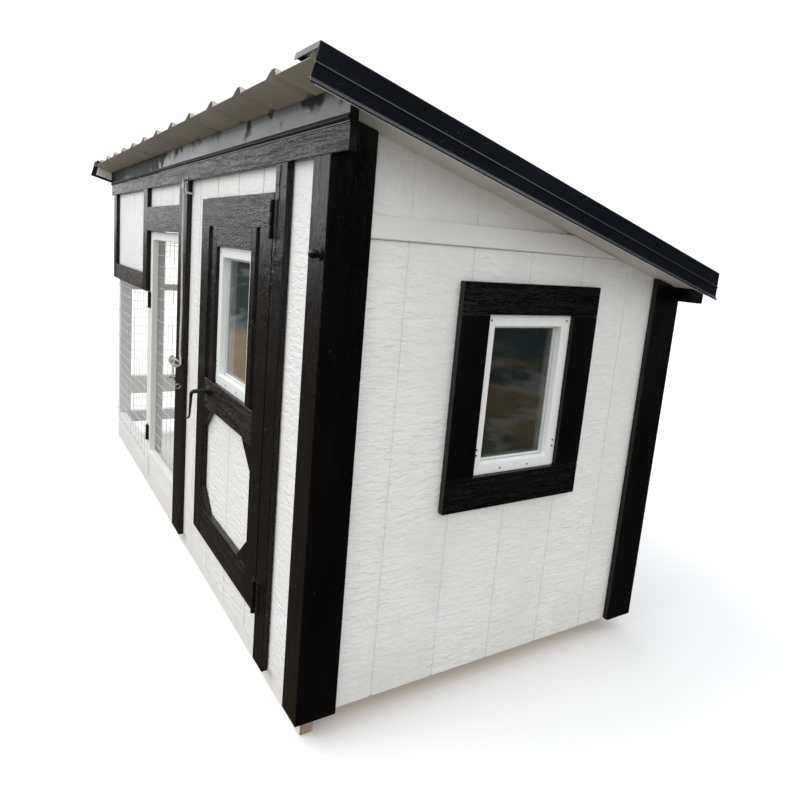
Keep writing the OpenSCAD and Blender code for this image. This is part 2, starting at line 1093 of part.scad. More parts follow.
module door_stop_peg() {
  color(black)
    translate([trim_x - 22, -trim_y, siding_z + 1177])
      rotate([90, 0, 0])
        union() {
          cylinder(h = 5, r = 14);
          cylinder(h = 18, r = 9);
          translate([0, 0, 18])
            sphere(r = 11);
        }
}

/* Inside the coop */

module pop_door() {
  x = part_x + 8;
  color(white)
    union() {
      box([x, x + 12], [-pop_hw - 15, pop_hw + 15], [pop_z0 - 8, pop_z0 + pop_h + 15]);
      translate([x + 6, 0, pop_z0 + pop_h + 25])
        rotate([0, 90, 0])
          rotate_extrude()
            translate([11, 0])
              circle(r = 2);
    }
}

module pop_door_tracks() {
  x = part_x + 6;
  z = [floor_z, floor_z + 760];
  color(galv)
    both_sides_y() {
      box([x, x + 16], [pop_hw + 17, pop_hw + 20], z);
      box([x + 16, x + 18], [pop_hw + 5, pop_hw + 20], z);
    }
}

module roost_bars() {
  color(timber)
    for (p = [[195, 640], [400, 760]])
      box([part_x + 6, hx - stud_t], [p[0], p[0] + 45], [p[1], p[1] + 38]);
}

module nest_boxes() {
  x = [640, 1300];
  y = [250, hy - stud_d];
  z = [floor_z, floor_z + 360];
  t = 12;
  gap = (x[1] - x[0] - t) / 2;
  color(timber)
    union() {
      box(x, y, [z[0], z[0] + t]);
      box(x, y, [z[1] - t, z[1]]);
      box(x, [y[1] - t, y[1]], z);
      box(x, [y[0], y[0] + t], [z[0], z[0] + 90]);
      for (i = [0 : 2])
        box([x[0] + i * gap, x[0] + i * gap + t], y, z);
    }
}

skids();
coop_floor();
run_sill();
front_wall_frame();
back_wall_frame();
coop_end_frame();
run_end_frame();
partition_panel();
roof_framing();
roof_sheets();
roof_screws();
rake_boards();
rake_trims();
fly_boards();
soffit_boards();
header_boards();
eave_fascia();
end_siding();
gable_siding();
gable_band();
front_siding_coop();
front_siding_run();
back_siding();
corner_boards_near();
corner_boards_far();
door_jamb_board();
rope_post_board();
run_header_trim();
bay_trim_boards();
back_trim_boards();
end_window_frame();
end_window_glass();
end_window_trim();
door_panel();
door_stiles();
door_rails();
door_filler_boards();
door_window_frame();
door_window_glass();
fixed_hinge_leaves();
door_hinge_leaves();
handle_rose();
handle_lever();
run_door_frame();
run_door_mesh();
front_bay_mesh();
rear_run_mesh();
run_door_hinge_leaves();
run_door_latch_body();
run_door_latch_bolt();
pulley_bracket();
pulley_sheave();
rope();
rope_cleat();
tie_ring();
door_stop_peg();
pop_door();
pop_door_tracks();
roost_bars();
nest_boxes();
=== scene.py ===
"""Looks of the chicken coop: materials, wire mesh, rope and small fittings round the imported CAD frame.

Lengths are metres in the coop's own frame: x along its length, y from front to back, z up.
"""

import math
import random

import bmesh
import bpy
import numpy as np
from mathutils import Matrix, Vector

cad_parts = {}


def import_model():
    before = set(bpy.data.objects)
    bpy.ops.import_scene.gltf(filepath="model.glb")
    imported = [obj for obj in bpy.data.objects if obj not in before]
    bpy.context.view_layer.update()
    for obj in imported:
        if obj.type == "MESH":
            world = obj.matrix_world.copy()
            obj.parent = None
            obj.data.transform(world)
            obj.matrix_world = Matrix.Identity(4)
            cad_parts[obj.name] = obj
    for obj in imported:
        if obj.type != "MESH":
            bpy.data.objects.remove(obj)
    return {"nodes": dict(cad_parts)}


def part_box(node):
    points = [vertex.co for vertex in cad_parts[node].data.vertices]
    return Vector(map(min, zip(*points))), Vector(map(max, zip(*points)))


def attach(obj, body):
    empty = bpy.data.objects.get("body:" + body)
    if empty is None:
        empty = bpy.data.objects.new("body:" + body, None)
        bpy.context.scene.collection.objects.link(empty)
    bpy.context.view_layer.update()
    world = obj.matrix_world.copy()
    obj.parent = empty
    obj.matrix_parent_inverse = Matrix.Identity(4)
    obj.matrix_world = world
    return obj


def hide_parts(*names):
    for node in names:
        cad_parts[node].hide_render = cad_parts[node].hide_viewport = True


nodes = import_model()["nodes"]
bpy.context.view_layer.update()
rng = random.Random(41)

# The roof's pitch, and the way down it towards the back
PITCH = math.radians(15)
SLOPE = Vector((0, math.cos(PITCH), -math.sin(PITCH)))
UP = Vector((0, 0, 1))
LONG = Vector((1, 0, 0))
DEEP = Vector((0, 1, 0))


# ---------------------------------------------------------------- shader helper


class Shader:
    """Adds nodes to a new material or world and wires them by socket name."""

    def __init__(self, name, world=False):
        self.owner = (bpy.data.worlds if world else bpy.data.materials).new(name)
        self.owner.use_nodes = True
        self.tree = self.owner.node_tree
        self.tree.nodes.clear()

    def node(self, kind, inputs=None, out=0, **settings):
        made = self.tree.nodes.new("ShaderNode" + kind)
        for key, value in settings.items():
            setattr(made, key, value)
        for key, value in (inputs or {}).items():
            if isinstance(value, bpy.types.NodeSocket):
                self.tree.links.new(value, made.inputs[key])
            else:
                made.inputs[key].default_value = value
        return made.outputs[out] if len(made.outputs) > out else None

    def math(self, operation, a, b=0.0):
        return self.node("Math", {0: a, 1: b}, operation=operation)

    def plus(self, a, b):
        return self.math("ADD", a, b)

    def times(self, a, b):
        return self.math("MULTIPLY", a, b)

    def vector(self, operation, a, b=(0, 0, 0), out=0):
        return self.node("VectorMath", {0: a, 1: b}, out, operation=operation)

    def scaled(self, at, factor):
        """Vector at times one factor, a number or a socket."""
        return self.node("VectorMath", {0: at, "Scale": factor}, operation="SCALE")

    def noise(self, at, scale, detail=3.0, rough=0.5, twist=0.0):
        """Clouds at a position; scale is one number, or a tuple with one for each axis."""
        if isinstance(scale, tuple):
            at, scale = self.vector("MULTIPLY", at, scale), 1.0
        return self.node(
            "TexNoise",
            {"Vector": at, "Scale": scale, "Detail": detail, "Roughness": rough, "Distortion": twist},
        )

    def cells(self, at, scale, out=0):
        """Distance to the nearest cell centre, or with out=1 one colour per cell."""
        return self.node("TexVoronoi", {"Vector": at, "Scale": scale}, out)

    def beads(self, at, scale, width):
        """Round drops: 1 in the middle of each, 0 between them."""
        return self.span(self.cells(at, scale), 0.0, width, 1.0, 0.0)

    def span(self, value, low, high, to_low=0.0, to_high=1.0, smooth=False):
        """Carries low..high over to to_low..to_high, held at both ends."""
        return self.node(
            "MapRange",
            {"Value": value, "From Min": low, "From Max": high, "To Min": to_low, "To Max": to_high},
            interpolation_type="SMOOTHSTEP" if smooth else "LINEAR",
        )

    def mix(self, share, a, b):
        """Colour a where share is 0, b where it is 1."""
        made = self.tree.nodes.new("ShaderNodeMix")
        made.data_type = "RGBA"
        for index, value in ((0, share), (6, a), (7, b)):
            if isinstance(value, bpy.types.NodeSocket):
                self.tree.links.new(value, made.inputs[index])
            else:
                made.inputs[index].default_value = value if index == 0 else (*value, 1)
        return made.outputs[2]

    def blend(self, share, a, b):
        """Plain number a where share is 0, b where it is 1."""
        return self.plus(self.times(self.math("SUBTRACT", b, a), share), a)

    def place(self):
        """Object coordinates, which are the CAD frame's metres at rest."""
        return self.node("TexCoord", out=3)

    def split(self, at):
        made = self.tree.nodes.new("ShaderNodeSeparateXYZ")
        self.tree.links.new(at, made.inputs[0])
        return made.outputs

    def seeded(self):
        """Object position shifted by the board's own seed, so that no two boards look alike."""
        seed = self.node("Attribute", out=2, attribute_name="seed")
        return self.vector("ADD", self.place(), self.scaled((31.7, 17.3, 53.9), seed))

    def along_grain(self, at, squeeze):
        """Position squeezed along the board's grain, so that noise read there is drawn out along it."""
        grain = self.node("Attribute", out=1, attribute_name="grain")
        along = self.vector("DOT_PRODUCT", at, grain, out=1)
        back = self.scaled(grain, self.times(along, squeeze - 1.0))
        return self.vector("ADD", at, back)

    def bump(self, height, metres, under=None):
        inputs = {"Strength": 1.0, "Distance": metres, "Height": height}
        if under is not None:
            inputs["Normal"] = under
        return self.node("Bump", inputs)

    def edge(self, radius=0.004):
        """1 on rounded or worn edges and 0 on flats."""
        bent = self.node("Bevel", {"Radius": radius}, samples=3)
        flat = self.node("NewGeometry", out=1)
        return self.span(self.vector("DOT_PRODUCT", bent, flat, out=1), 0.985, 0.80)

    def surface(self, colour, rough, normal=None, **more):
        """Ends the material; more holds further sockets, with underscores for the spaces in their names."""
        inputs = {"Base Color": colour, "Roughness": rough}
        if normal is not None:
            inputs["Normal"] = normal
        for key, value in more.items():
            inputs[key.replace("_", " ")] = value
        self.node("OutputMaterial", {"Surface": self.node("BsdfPrincipled", inputs)})
        return self.owner


# ---------------------------------------------------------------- materials


def siding_white():
    """White paint over cedar embossing: short cross wavelets with a fine upright grain."""
    s = Shader("siding_white")
    at = s.seeded()
    wander = s.noise(at, (5, 5, 3), 2.0)
    wavelets = s.noise(at, (26, 26, 84), 2.0, 0.5, 0.6)
    wavelets = s.span(wavelets, 0.30, 0.70, smooth=True)
    calm = s.span(wander, 0.36, 0.60, 0.45, 1.0)
    fine = s.noise(at, (330, 330, 14), 3.0, 0.6)
    lumps = s.noise(at, (90, 90, 150), 3.0, 0.6)
    level = s.split(s.place())[2]
    gable = s.span(level, 1.34, 1.42)  # 1 on the gable's boards, which have the finer grain
    height = s.times(s.times(wavelets, calm), s.span(gable, 0.0, 1.0, 1.1, 0.3))
    height = s.plus(height, s.times(fine, s.span(gable, 0.0, 1.0, 0.6, 1.3)))
    height = s.plus(height, s.times(lumps, 0.55))
    normal = s.bump(height, 0.0015)
    bead = s.times(s.beads(at, 95.0, 0.16), s.span(s.noise(at, 7.0), 0.52, 0.66))
    normal = s.bump(bead, 0.0012, normal)
    colour = s.mix(s.span(wander, 0.3, 0.7), (0.84, 0.845, 0.845), (0.90, 0.905, 0.905))
    # Painted shade: the low parts of the embossing are darkened in the colour
    painted_hollow_shade = s.span(height, 0.4, 1.2, 0.12, 0.0)
    colour = s.mix(painted_hollow_shade, colour, (0.46, 0.46, 0.455))
    # Painted shade along the gable's grain: its low parts are darkened in the colour
    lines = s.times(s.span(fine, 0.42, 0.62, 0.16, 0.0), gable)
    colour = s.mix(lines, colour, (0.55, 0.53, 0.50))
    warm = s.span(s.noise(at, (13, 13, 8), 3.0), 0.45, 0.70, 0.0, 0.5)
    colour = s.mix(warm, colour, (0.86, 0.85, 0.81))
    mud = s.noise(at, (30, 30, 9), 4.0)
    splash = s.times(s.span(level, 0.06, 0.22, 0.30, 0.0), mud)
    colour = s.mix(splash, colour, (0.50, 0.46, 0.38))
    rough = s.blend(bead, s.span(lumps, 0.3, 0.7, 0.36, 0.52), 0.12)
    return s.surface(colour, rough, normal, IOR=1.5)


def board_black():
    """Gloss black paint on embossed trim boards, the grain showing through, and the sheen tinted browner low
    down as a painted reflection of the gravel.
    """
    s = Shader("board_black")
    at = s.seeded()
    waves = s.noise(s.along_grain(at, 0.10), 60, 3.0, 0.5, 1.1)
    ridges = s.span(s.math("PINGPONG", s.times(waves, 7.0), 0.5), 0.02, 0.48, smooth=True)
    fine = s.noise(s.along_grain(at, 0.04), 620, 2.0, 0.6)
    cross = s.noise(s.along_grain(at, 1.9), 34, 1.0, 0.5, 0.2)
    where = s.span(s.noise(s.along_grain(at, 0.6), 7.0), 0.42, 0.62)
    height = s.plus(s.times(ridges, 0.5), s.times(fine, 0.6))
    height = s.plus(height, s.times(s.times(cross, where), 1.1))
    normal = s.bump(height, 0.0011)
    bead = s.times(s.beads(at, 120.0, 0.17), s.span(s.noise(at, 6.0), 0.58, 0.68))
    normal = s.bump(bead, 0.0010, normal)
    patch = s.noise(s.along_grain(at, 0.3), 9.0, 3.0)
    colour = s.mix(s.span(patch, 0.35, 0.7), (0.0010, 0.0010, 0.0014), (0.0040, 0.0034, 0.0034))
    colour = s.mix(s.times(s.edge(), 0.22), colour, (0.030, 0.028, 0.028))
    rough = s.span(height, 0.2, 1.3, 0.34, 0.22)
    rough = s.blend(bead, rough, 0.08)
    # Painted reflection: the sheen's tint turns brown low down, as if mirroring the gravel
    tint = s.mix(s.span(s.split(s.place())[2], 0.65, 1.25), (0.86, 0.70, 0.57), (0.96, 0.97, 1.0))
    return s.surface(colour, rough, normal, IOR=1.48, Specular_Tint=tint)


def board_white(name="board_white", tint=(0.85, 0.85, 0.84)):
    """Satin white paint on boards, thin at the edges."""
    s = Shader(name)
    at = s.seeded()
    grain = s.noise(s.along_grain(at, 0.05), 260, 3.0, 0.6, 0.3)
    soft = s.noise(at, 60, 3.0, 0.6)
    height = s.plus(s.times(grain, 0.6), s.times(soft, 0.5))
    normal = s.bump(height, 0.0006)
    patch = s.noise(s.along_grain(at, 0.3), 7.0, 4.0)
    colour = s.mix(s.span(patch, 0.3, 0.72), tint, tuple(c * 0.9 for c in tint))
    colour = s.mix(s.times(s.span(grain, 0.60, 0.78), 0.25), colour, (0.62, 0.58, 0.50))
    colour = s.mix(s.times(s.edge(), 0.18), colour, (0.50, 0.43, 0.33))
    return s.surface(colour, s.span(soft, 0.3, 0.7, 0.38, 0.56), normal)


def timber_colours(s, at):
    """Colour and height of sawn softwood at a seeded position."""
    rings = s.noise(s.along_grain(at, 0.06), 42, 3.0, 0.5, 1.2)
    lines = s.math("PINGPONG", s.times(rings, 7.0), 0.5)
    fine = s.noise(s.along_grain(at, 0.02), 700, 3.0, 0.6)
    patch = s.noise(s.along_grain(at, 0.2), 5.0, 3.0)
    colour = s.mix(s.span(lines, 0.1, 0.45), (0.48, 0.33, 0.18), (0.66, 0.50, 0.30))
    colour = s.mix(s.span(fine, 0.35, 0.75, 0.0, 0.45), colour, (0.40, 0.27, 0.15))
    colour = s.mix(s.span(patch, 0.35, 0.7, 0.0, 0.5), colour, (0.56, 0.44, 0.30))
    knots = s.cells(s.along_grain(at, 0.35), 5.0)
    colour = s.mix(s.span(knots, 0.03, 0.12, 0.85, 0.0), colour, (0.20, 0.11, 0.06))
    height = s.plus(s.times(lines, 0.7), s.times(fine, 0.6))
    return colour, height, fine


def timber(painted_front=False):
    """Sawn softwood; the skids' outer faces are painted white with the walls."""
    skid_face = 0.61  # only the skids' outer faces lie further than this from the middle
    s = Shader("timber_painted_face" if painted_front else "timber")
    at = s.seeded()
    colour, height, fine = timber_colours(s, at)
    rough = s.span(fine, 0.3, 0.7, 0.62, 0.82)
    if painted_front:
        facing = s.math("ABSOLUTE", s.split(s.node("NewGeometry", out=1))[1])
        away = s.math("ABSOLUTE", s.split(s.place())[1])
        outer = s.times(s.math("GREATER_THAN", facing, 0.7), s.math("GREATER_THAN", away, skid_face))
        weather = s.span(s.noise(at, 14, 4.0), 0.3, 0.7, 0.45, 0.85)
        colour = s.mix(weather, colour, (0.20, 0.17, 0.145))
        worn = s.math("GREATER_THAN", s.noise(s.along_grain(at, 0.3), 34, 5.0, 0.7), 0.27)
        coat = s.times(outer, worn)
        white = s.mix(s.noise(at, 11.0, 4.0), (0.84, 0.835, 0.82), (0.74, 0.72, 0.68))
        colour = s.mix(coat, colour, white)
        rough = s.blend(coat, rough, 0.45)
    return s.surface(colour, rough, s.bump(height, 0.0007))


def plywood():
    """Bare sheathing ply, dusty in places."""
    s = Shader("plywood")
    at = s.seeded()
    figure = s.noise(at, (2.2, 16, 16), 4.0, 0.55, 1.5)
    lines = s.math("PINGPONG", s.times(figure, 8.0), 0.5)
    fine = s.noise(at, (30, 700, 700), 2.0)
    colour = s.mix(s.span(lines, 0.05, 0.48), (0.55, 0.40, 0.24), (0.68, 0.53, 0.34))
    colour = s.mix(s.span(fine, 0.4, 0.8, 0.0, 0.4), colour, (0.42, 0.29, 0.17))
    dust = s.noise(at, 13.0, 5.0)
    colour = s.mix(s.span(dust, 0.5, 0.75, 0.0, 0.45), colour, (0.42, 0.36, 0.28))
    return s.surface(colour, 0.72, s.bump(fine, 0.0004))


def roof_metal():
    """Ribbed sheet: zinc-grey coating on top, taupe backing coat underneath."""
    s = Shader("roof_metal")
    at = s.place()
    facing = s.split(s.node("NewGeometry", out=1))[2]
    above = s.math("GREATER_THAN", facing, 0.0)
    clouds = s.noise(at, 3.0, 4.0)
    streak = s.noise(at, (26, 1.6, 1.6), 4.0, 0.6)
    top = s.mix(s.span(clouds, 0.3, 0.7), (0.36, 0.345, 0.30), (0.45, 0.43, 0.385))
    top = s.mix(s.span(streak, 0.45, 0.75, 0.0, 0.35), top, (0.27, 0.26, 0.235))
    under = s.mix(s.span(clouds, 0.3, 0.7), (0.32, 0.29, 0.225), (0.40, 0.365, 0.29))
    under = s.mix(s.span(streak, 0.5, 0.75, 0.0, 0.55), under, (0.50, 0.47, 0.41))
    grime = s.span(s.noise(at, 22.0, 5.0), 0.55, 0.8, 0.0, 0.35)
    colour = s.mix(grime, s.mix(above, under, top), (0.26, 0.24, 0.21))
    rough = s.blend(above, 0.46, s.span(clouds, 0.3, 0.7, 0.30, 0.44))
    peel = s.noise(at, 350, 2.0)
    oil = s.noise(at, (5, 2.2, 2.2), 1.0)
    normal = s.bump(oil, 0.0022, s.bump(peel, 0.00012))
    metal = s.times(above, 0.35)
    return s.surface(colour, rough, normal, Metallic=metal)


def trim_metal():
    """Folded black sheet trim: rain beads in patches, tinted pale as a painted glint, and damp clouds on the
    fascia's front face.
    """
    s = Shader("trim_metal")
    at = s.place()
    oil = s.noise(at, (7, 2.4, 7), 2.0)
    peel = s.noise(at, 420, 2.0)
    normal = s.bump(oil, 0.0018, s.bump(peel, 0.00010))
    wet = s.span(s.noise(at, (9, 5, 22), 3.0), 0.50, 0.66)
    bead = s.times(s.math("MAXIMUM", s.beads(at, 210.0, 0.20), s.beads(at, 85.0, 0.15)), wet)
    normal = s.bump(bead, 0.0016, normal)
    tone = s.noise(at, (3, 1.5, 3), 3.0)
    colour = s.mix(s.span(tone, 0.3, 0.7), (0.003, 0.0042, 0.009), (0.006, 0.008, 0.014))
    colour = s.mix(s.times(s.edge(0.003), 0.2), colour, (0.12, 0.13, 0.15))
    # Painted glint: the rain beads are tinted pale grey in the colour
    colour = s.mix(s.times(bead, 0.12), colour, (0.5, 0.52, 0.55))
    rough = s.blend(bead, s.span(tone, 0.3, 0.7, 0.24, 0.34), 0.06)
    front = s.span(s.split(s.node("NewGeometry", out=1))[1], -0.8, -0.95)
    runs = s.noise(at, 9.0, 4.0, 0.6, 0.5)
    x, _, z = s.split(at)
    reach = s.plus(s.span(z, 1.52, 1.60, -0.10, 0.15), s.span(x, -0.45, 0.05, 0.25, 0.0))
    damp = s.times(front, s.span(s.plus(runs, reach), 0.52, 0.66, smooth=True))
    shine = s.blend(front, 0.5, s.blend(damp, 0.70, 0.12))
    rough = s.blend(damp, rough, 0.60)
    shine = s.times(shine, s.blend(s.times(front, s.beads(at, 60.0, 0.10)), 1.0, 0.45))
    coat = s.blend(damp, 0.12, 0.05)
    return s.surface(colour, rough, normal, Coat_Weight=coat, Coat_Roughness=0.12, Specular_IOR_Level=shine)


def black_iron():
    """Powder-coated black fittings, rubbed at the edges."""
    s = Shader("black_iron")
    at = s.place()
    peel = s.noise(at, 900, 3.0, 0.6)
    smear = s.noise(at, 45, 3.0)
    colour = s.mix(s.span(smear, 0.35, 0.7), (0.004, 0.004, 0.005), (0.010, 0.0095, 0.0095))
    colour = s.mix(s.times(s.edge(0.0015), 0.35), colour, (0.10, 0.095, 0.09))
    return s.surface(colour, s.span(smear, 0.3, 0.7, 0.30, 0.46), s.bump(peel, 0.00016))


def galvanised():
    """Dull hot-dip zinc with a faint spangle."""
    s = Shader("galvanised")
    at = s.place()
    spangle = s.cells(at, 160.0, out=1)
    shade = s.node("RGBToBW", {"Color": spangle})
    dull = s.noise(at, 70, 4.0)
    colour = s.mix(shade, (0.26, 0.27, 0.28), (0.42, 0.43, 0.44))
    colour = s.mix(s.span(dull, 0.52, 0.75, 0.0, 0.5), colour, (0.42, 0.40, 0.38))
    rough = s.span(shade, 0.2, 0.8, 0.30, 0.48)
    return s.surface(colour, rough, s.bump(dull, 0.0001), Metallic=0.85)


def mesh_wire():
    """Zinc-coated welded wire, chalky in places."""
    s = Shader("mesh_wire")
    at = s.place()
    dull = s.noise(at, 90, 4.0)
    colour = s.mix(s.span(dull, 0.35, 0.7), (0.74, 0.75, 0.76), (0.52, 0.52, 0.51))
    return s.surface(colour, s.span(dull, 0.3, 0.7, 0.32, 0.55), s.bump(dull, 0.0002), Metallic=0.15)


def vinyl():
    """Extruded white window profile with rain-dirt streaks, and painted shade darkening its corners."""
    s = Shader("vinyl")
    at = s.place()
    streak = s.noise(at, (40, 40, 6), 4.0)
    soft = s.noise(at, 260, 2.0)
    colour = s.mix(s.span(streak, 0.5, 0.78, 0.0, 0.30), (0.86, 0.87, 0.865), (0.68, 0.69, 0.66))
    # Painted shade: the profile is darkened in its tight corners, found by occlusion
    shade = s.node("AmbientOcclusion", {"Distance": 0.006}, out=1, samples=4)
    colour = s.mix(s.span(shade, 0.2, 0.75, 0.40, 0.0), colour, (0.30, 0.32, 0.30))
    return s.surface(colour, 0.26, s.bump(soft, 0.00008), Coat_Weight=0.15)


def window_glass():
    """Pane painted dark and mostly opaque as painted shade of the room behind, with dust, rain marks and a
    painted reflection of the yard glowing in it.
    """
    s = Shader("window_glass")
    at = s.place()
    film = s.noise(at, (9, 9, 5), 5.0, 0.6)
    drops = s.times(s.beads(at, 150.0, 0.14), s.span(s.noise(at, 12.0), 0.52, 0.64))
    # Painted shade: the pane itself is near black, standing for the dark room behind, lighter where dust
    # films it
    colour = s.mix(s.span(film, 0.4, 0.75), (0.008, 0.010, 0.009), (0.022, 0.025, 0.023))
    wave = s.noise(at, 4.0, 1.0)
    normal = s.bump(drops, 0.0008, s.bump(wave, 0.0012))
    clear = s.span(film, 0.3, 0.8, 0.62, 0.80)
    # Painted reflection of the yard, glowing by the reflection direction: gravel under trees in front, darker
    # ground beyond the gable end, sky on top
    mirrored = s.node("TexCoord", out=6)
    _, y, z = s.split(mirrored)
    gravel = s.mix(s.noise(mirrored, 55.0, 4.0), (0.11, 0.085, 0.055), (0.22, 0.17, 0.115))
    blots = s.span(s.noise(mirrored, (26, 26, 60), 4.0), 0.50, 0.64)
    trees = s.mix(blots, (0.006, 0.014, 0.015), (0.085, 0.10, 0.11))
    front = s.mix(s.span(z, -0.13, -0.15), trees, gravel)
    bands = s.noise(mirrored, (5, 5, 34), 3.0)
    side = s.mix(s.span(bands, 0.40, 0.52), (0.004, 0.008, 0.009), (0.030, 0.023, 0.012))
    stones = s.noise(mirrored, (16, 16, 44), 4.0)
    pale = s.times(s.span(stones, 0.5, 0.62), s.span(z, -0.10, -0.16))
    side = s.mix(s.times(pale, 0.7), side, (0.060, 0.058, 0.054))
    side = s.mix(s.span(z, -0.10, -0.02), side, (0.003, 0.004, 0.005))
    yard = s.mix(s.span(y, 0.05, -0.10), side, front)
    yard = s.mix(s.span(z, 0.12, 0.30), yard, (0.80, 0.86, 0.92))
    # The painted reflection glows stronger at grazing angles
    gloss = s.times(s.node("Fresnel", {"IOR": 1.5}), 3.4)
    rough = s.blend(drops, 0.03, 0.1)
    painted_reflection_glow = {"Emission_Color": yard, "Emission_Strength": gloss}
    return s.surface(colour, rough, normal, Alpha=clear, IOR=1.5, **painted_reflection_glow)


def rope_fibre():
    """Twisted white cord, greyed where it is handled."""
    s = Shader("rope_fibre")
    at = s.place()
    z = s.split(at)[2]
    hairs = s.noise(at, 1500, 3.0, 0.7)
    soil = s.noise(at, 30, 4.0)
    handled = s.span(z, 0.95, 0.70, 0.0, 0.6)
    colour = s.mix(s.span(soil, 0.35, 0.7), (0.74, 0.72, 0.66), (0.58, 0.55, 0.48))
    colour = s.mix(s.times(handled, soil), colour, (0.33, 0.30, 0.25))
    colour = s.mix(s.span(hairs, 0.35, 0.65, 0.0, 0.3), colour, (0.40, 0.37, 0.31))
    return s.surface(colour, 0.85, s.bump(hairs, 0.0003), Sheen_Weight=0.3)


def gasket():
    """Pale glazing bead round the panes."""
    s = Shader("gasket")
    at = s.place()
    dust = s.noise(at, 220, 4.0)
    colour = s.mix(s.span(dust, 0.45, 0.75), (0.62, 0.66, 0.64), (0.42, 0.45, 0.43))
    return s.surface(colour, 0.5, s.bump(dust, 0.0002))


def dark_crack():
    """Shadowed split in painted wood."""
    s = Shader("dark_crack")
    grit = s.noise(s.place(), 400, 3.0)
    colour = s.mix(grit, (0.0008, 0.0008, 0.001), (0.004, 0.0035, 0.003))
    return s.surface(colour, 0.95, s.bump(grit, 0.0003), Specular_IOR_Level=0.05)


MAT = {
    "siding": siding_white(),
    "black": board_black(),
    "white": board_white(),
    "soffit": board_white("soffit_paint", (0.60, 0.575, 0.53)),
    "timber": timber(),
    "skid": timber(True),
    "ply": plywood(),
    "roof": roof_metal(),
    "trim": trim_metal(),
    "iron": black_iron(),
    "zinc": galvanised(),
    "wire": mesh_wire(),
    "vinyl": vinyl(),
    "glass": window_glass(),
    "rope": rope_fibre(),
    "gasket": gasket(),
    "crack": dark_crack(),
}


# ---------------------------------------------------------------- CAD nodes


def solids_of(mesh):
    """Vertex places, and for each vertex a label of the separate solid it belongs to."""
    co = np.empty(len(mesh.vertices) * 3)
    mesh.vertices.foreach_get("co", co)
    co = co.reshape(-1, 3)
    _, same = np.unique(np.round(co, 5), axis=0, return_inverse=True)
    same = same.ravel()
    corners = np.empty(len(mesh.loops), int)
    mesh.loops.foreach_get("vertex_index", corners)
    corners = same[corners]
    starts = np.empty(len(mesh.polygons), int)
    mesh.polygons.foreach_get("loop_start", starts)
    sizes = np.diff(np.append(starts, len(corners)))
    label = np.arange(same.max() + 1)
    while True:
        low = np.minimum.reduceat(label[corners], starts)
        new = label.copy()
        np.minimum.at(new, corners, np.repeat(low, sizes))
        if (new == label).all():
            return co, label[same]
        label = new


def tag(obj, grain=None):
    """Gives each solid of a mesh its own grain direction and seed, as point attributes the shaders read."""
    mesh = obj.data
    co, label = solids_of(mesh)
    grains, seeds = np.zeros((len(co), 3)), np.zeros(len(co))
    for number, solid in enumerate(np.unique(label)):
        own = label == solid
        size = np.ptp(co[own], axis=0)
        axis = np.zeros(3)
        axis[size.argmax()] = 1.0
        grains[own] = axis if grain is None else grain
        # Golden-ratio steps keep neighbouring boards' seeds apart
        seeds[own] = math.modf(number * 0.618 + len(obj.name) * 0.137)[0]
    made = mesh.attributes.new("grain", "FLOAT_VECTOR", "POINT")
    made.data.foreach_set("vector", grains.astype(np.float32).ravel())
    made = mesh.attributes.new("seed", "FLOAT", "POINT")
    made.data.foreach_set("value", seeds.astype(np.float32))


def ease_edges(obj, width, segments, angle):
    """Rounds the edges that bend by more than angle degrees."""
    ease = obj.modifiers.new("ease", "BEVEL")
    ease.width = width
    ease.segments = segments
    ease.limit_method = "ANGLE"
    ease.angle_limit = math.radians(angle)


def dress(name, material, bevel=0.0, grain=None, segments=2):
    """Puts a material, eased edges and grain directions on a CAD node."""
    obj = nodes[name]
    obj.data.materials.clear()
    obj.data.materials.append(MAT[material])
    tag(obj, grain)
    if bevel:
        weld = obj.modifiers.new("weld", "WELD")
        weld.merge_threshold = 1e-5
        ease_edges(obj, bevel, segments, 35)


for name in (
    "end_siding", "gable_siding", "front_siding_coop", "front_siding_run", "back_siding", "door_panel",
):
    dress(name, "siding", 0.0006, UP, 1)
for name in (
    "corner_boards_near", "corner_boards_far", "door_jamb_board", "rope_post_board", "run_header_trim",
    "bay_trim_boards", "back_trim_boards", "end_window_trim", "door_stiles", "door_rails",
    "door_filler_boards", "header_boards",
):
    dress(name, "black", 0.0022)
dress("rake_boards", "soffit", 0.002, SLOPE)
dress("rake_trims", "trim", 0.0006, SLOPE, 1)
dress("eave_fascia", "trim", 0.0006, None, 1)
dress("fly_boards", "white", 0.002, SLOPE)
dress("soffit_boards", "soffit", 0.0, SLOPE)
dress("gable_band", "white", 0.002, DEEP)
dress("run_sill", "white", 0.003, LONG)
dress("run_end_frame", "white", 0.003, UP)
dress("run_door_frame", "white", 0.003, UP)
dress("partition_panel", "white", 0.001, UP)
dress("pop_door", "white", 0.001, UP)
dress("skids", "skid", 0.004, LONG)
for name in ("front_wall_frame", "back_wall_frame", "coop_end_frame"):
    dress(name, "white", 0.002, UP)
dress("roof_framing", "timber", 0.0015)
dress("roost_bars", "timber", 0.003)
dress("coop_floor", "ply", 0.001, LONG)
dress("nest_boxes", "ply", 0.0012, LONG)
dress("roof_sheets", "roof")
for name in ("roof_screws", "pop_door_tracks", "pulley_bracket", "pulley_sheave", "tie_ring",
             "run_door_latch_body", "run_door_latch_bolt"):
    dress(name, "zinc", 0.0005)
for name in ("fixed_hinge_leaves", "door_hinge_leaves", "run_door_hinge_leaves", "handle_rose",
             "handle_lever", "rope_cleat", "door_stop_peg"):
    dress(name, "iron", 0.0006)
dress("end_window_frame", "vinyl", 0.005, None, 4)
dress("door_window_frame", "vinyl", 0.005, None, 4)
dress("end_window_glass", "glass")
dress("door_window_glass", "glass")
for name in ("run_door_mesh", "front_bay_mesh", "rear_run_mesh"):
    dress(name, "wire")
dress("rope", "rope")


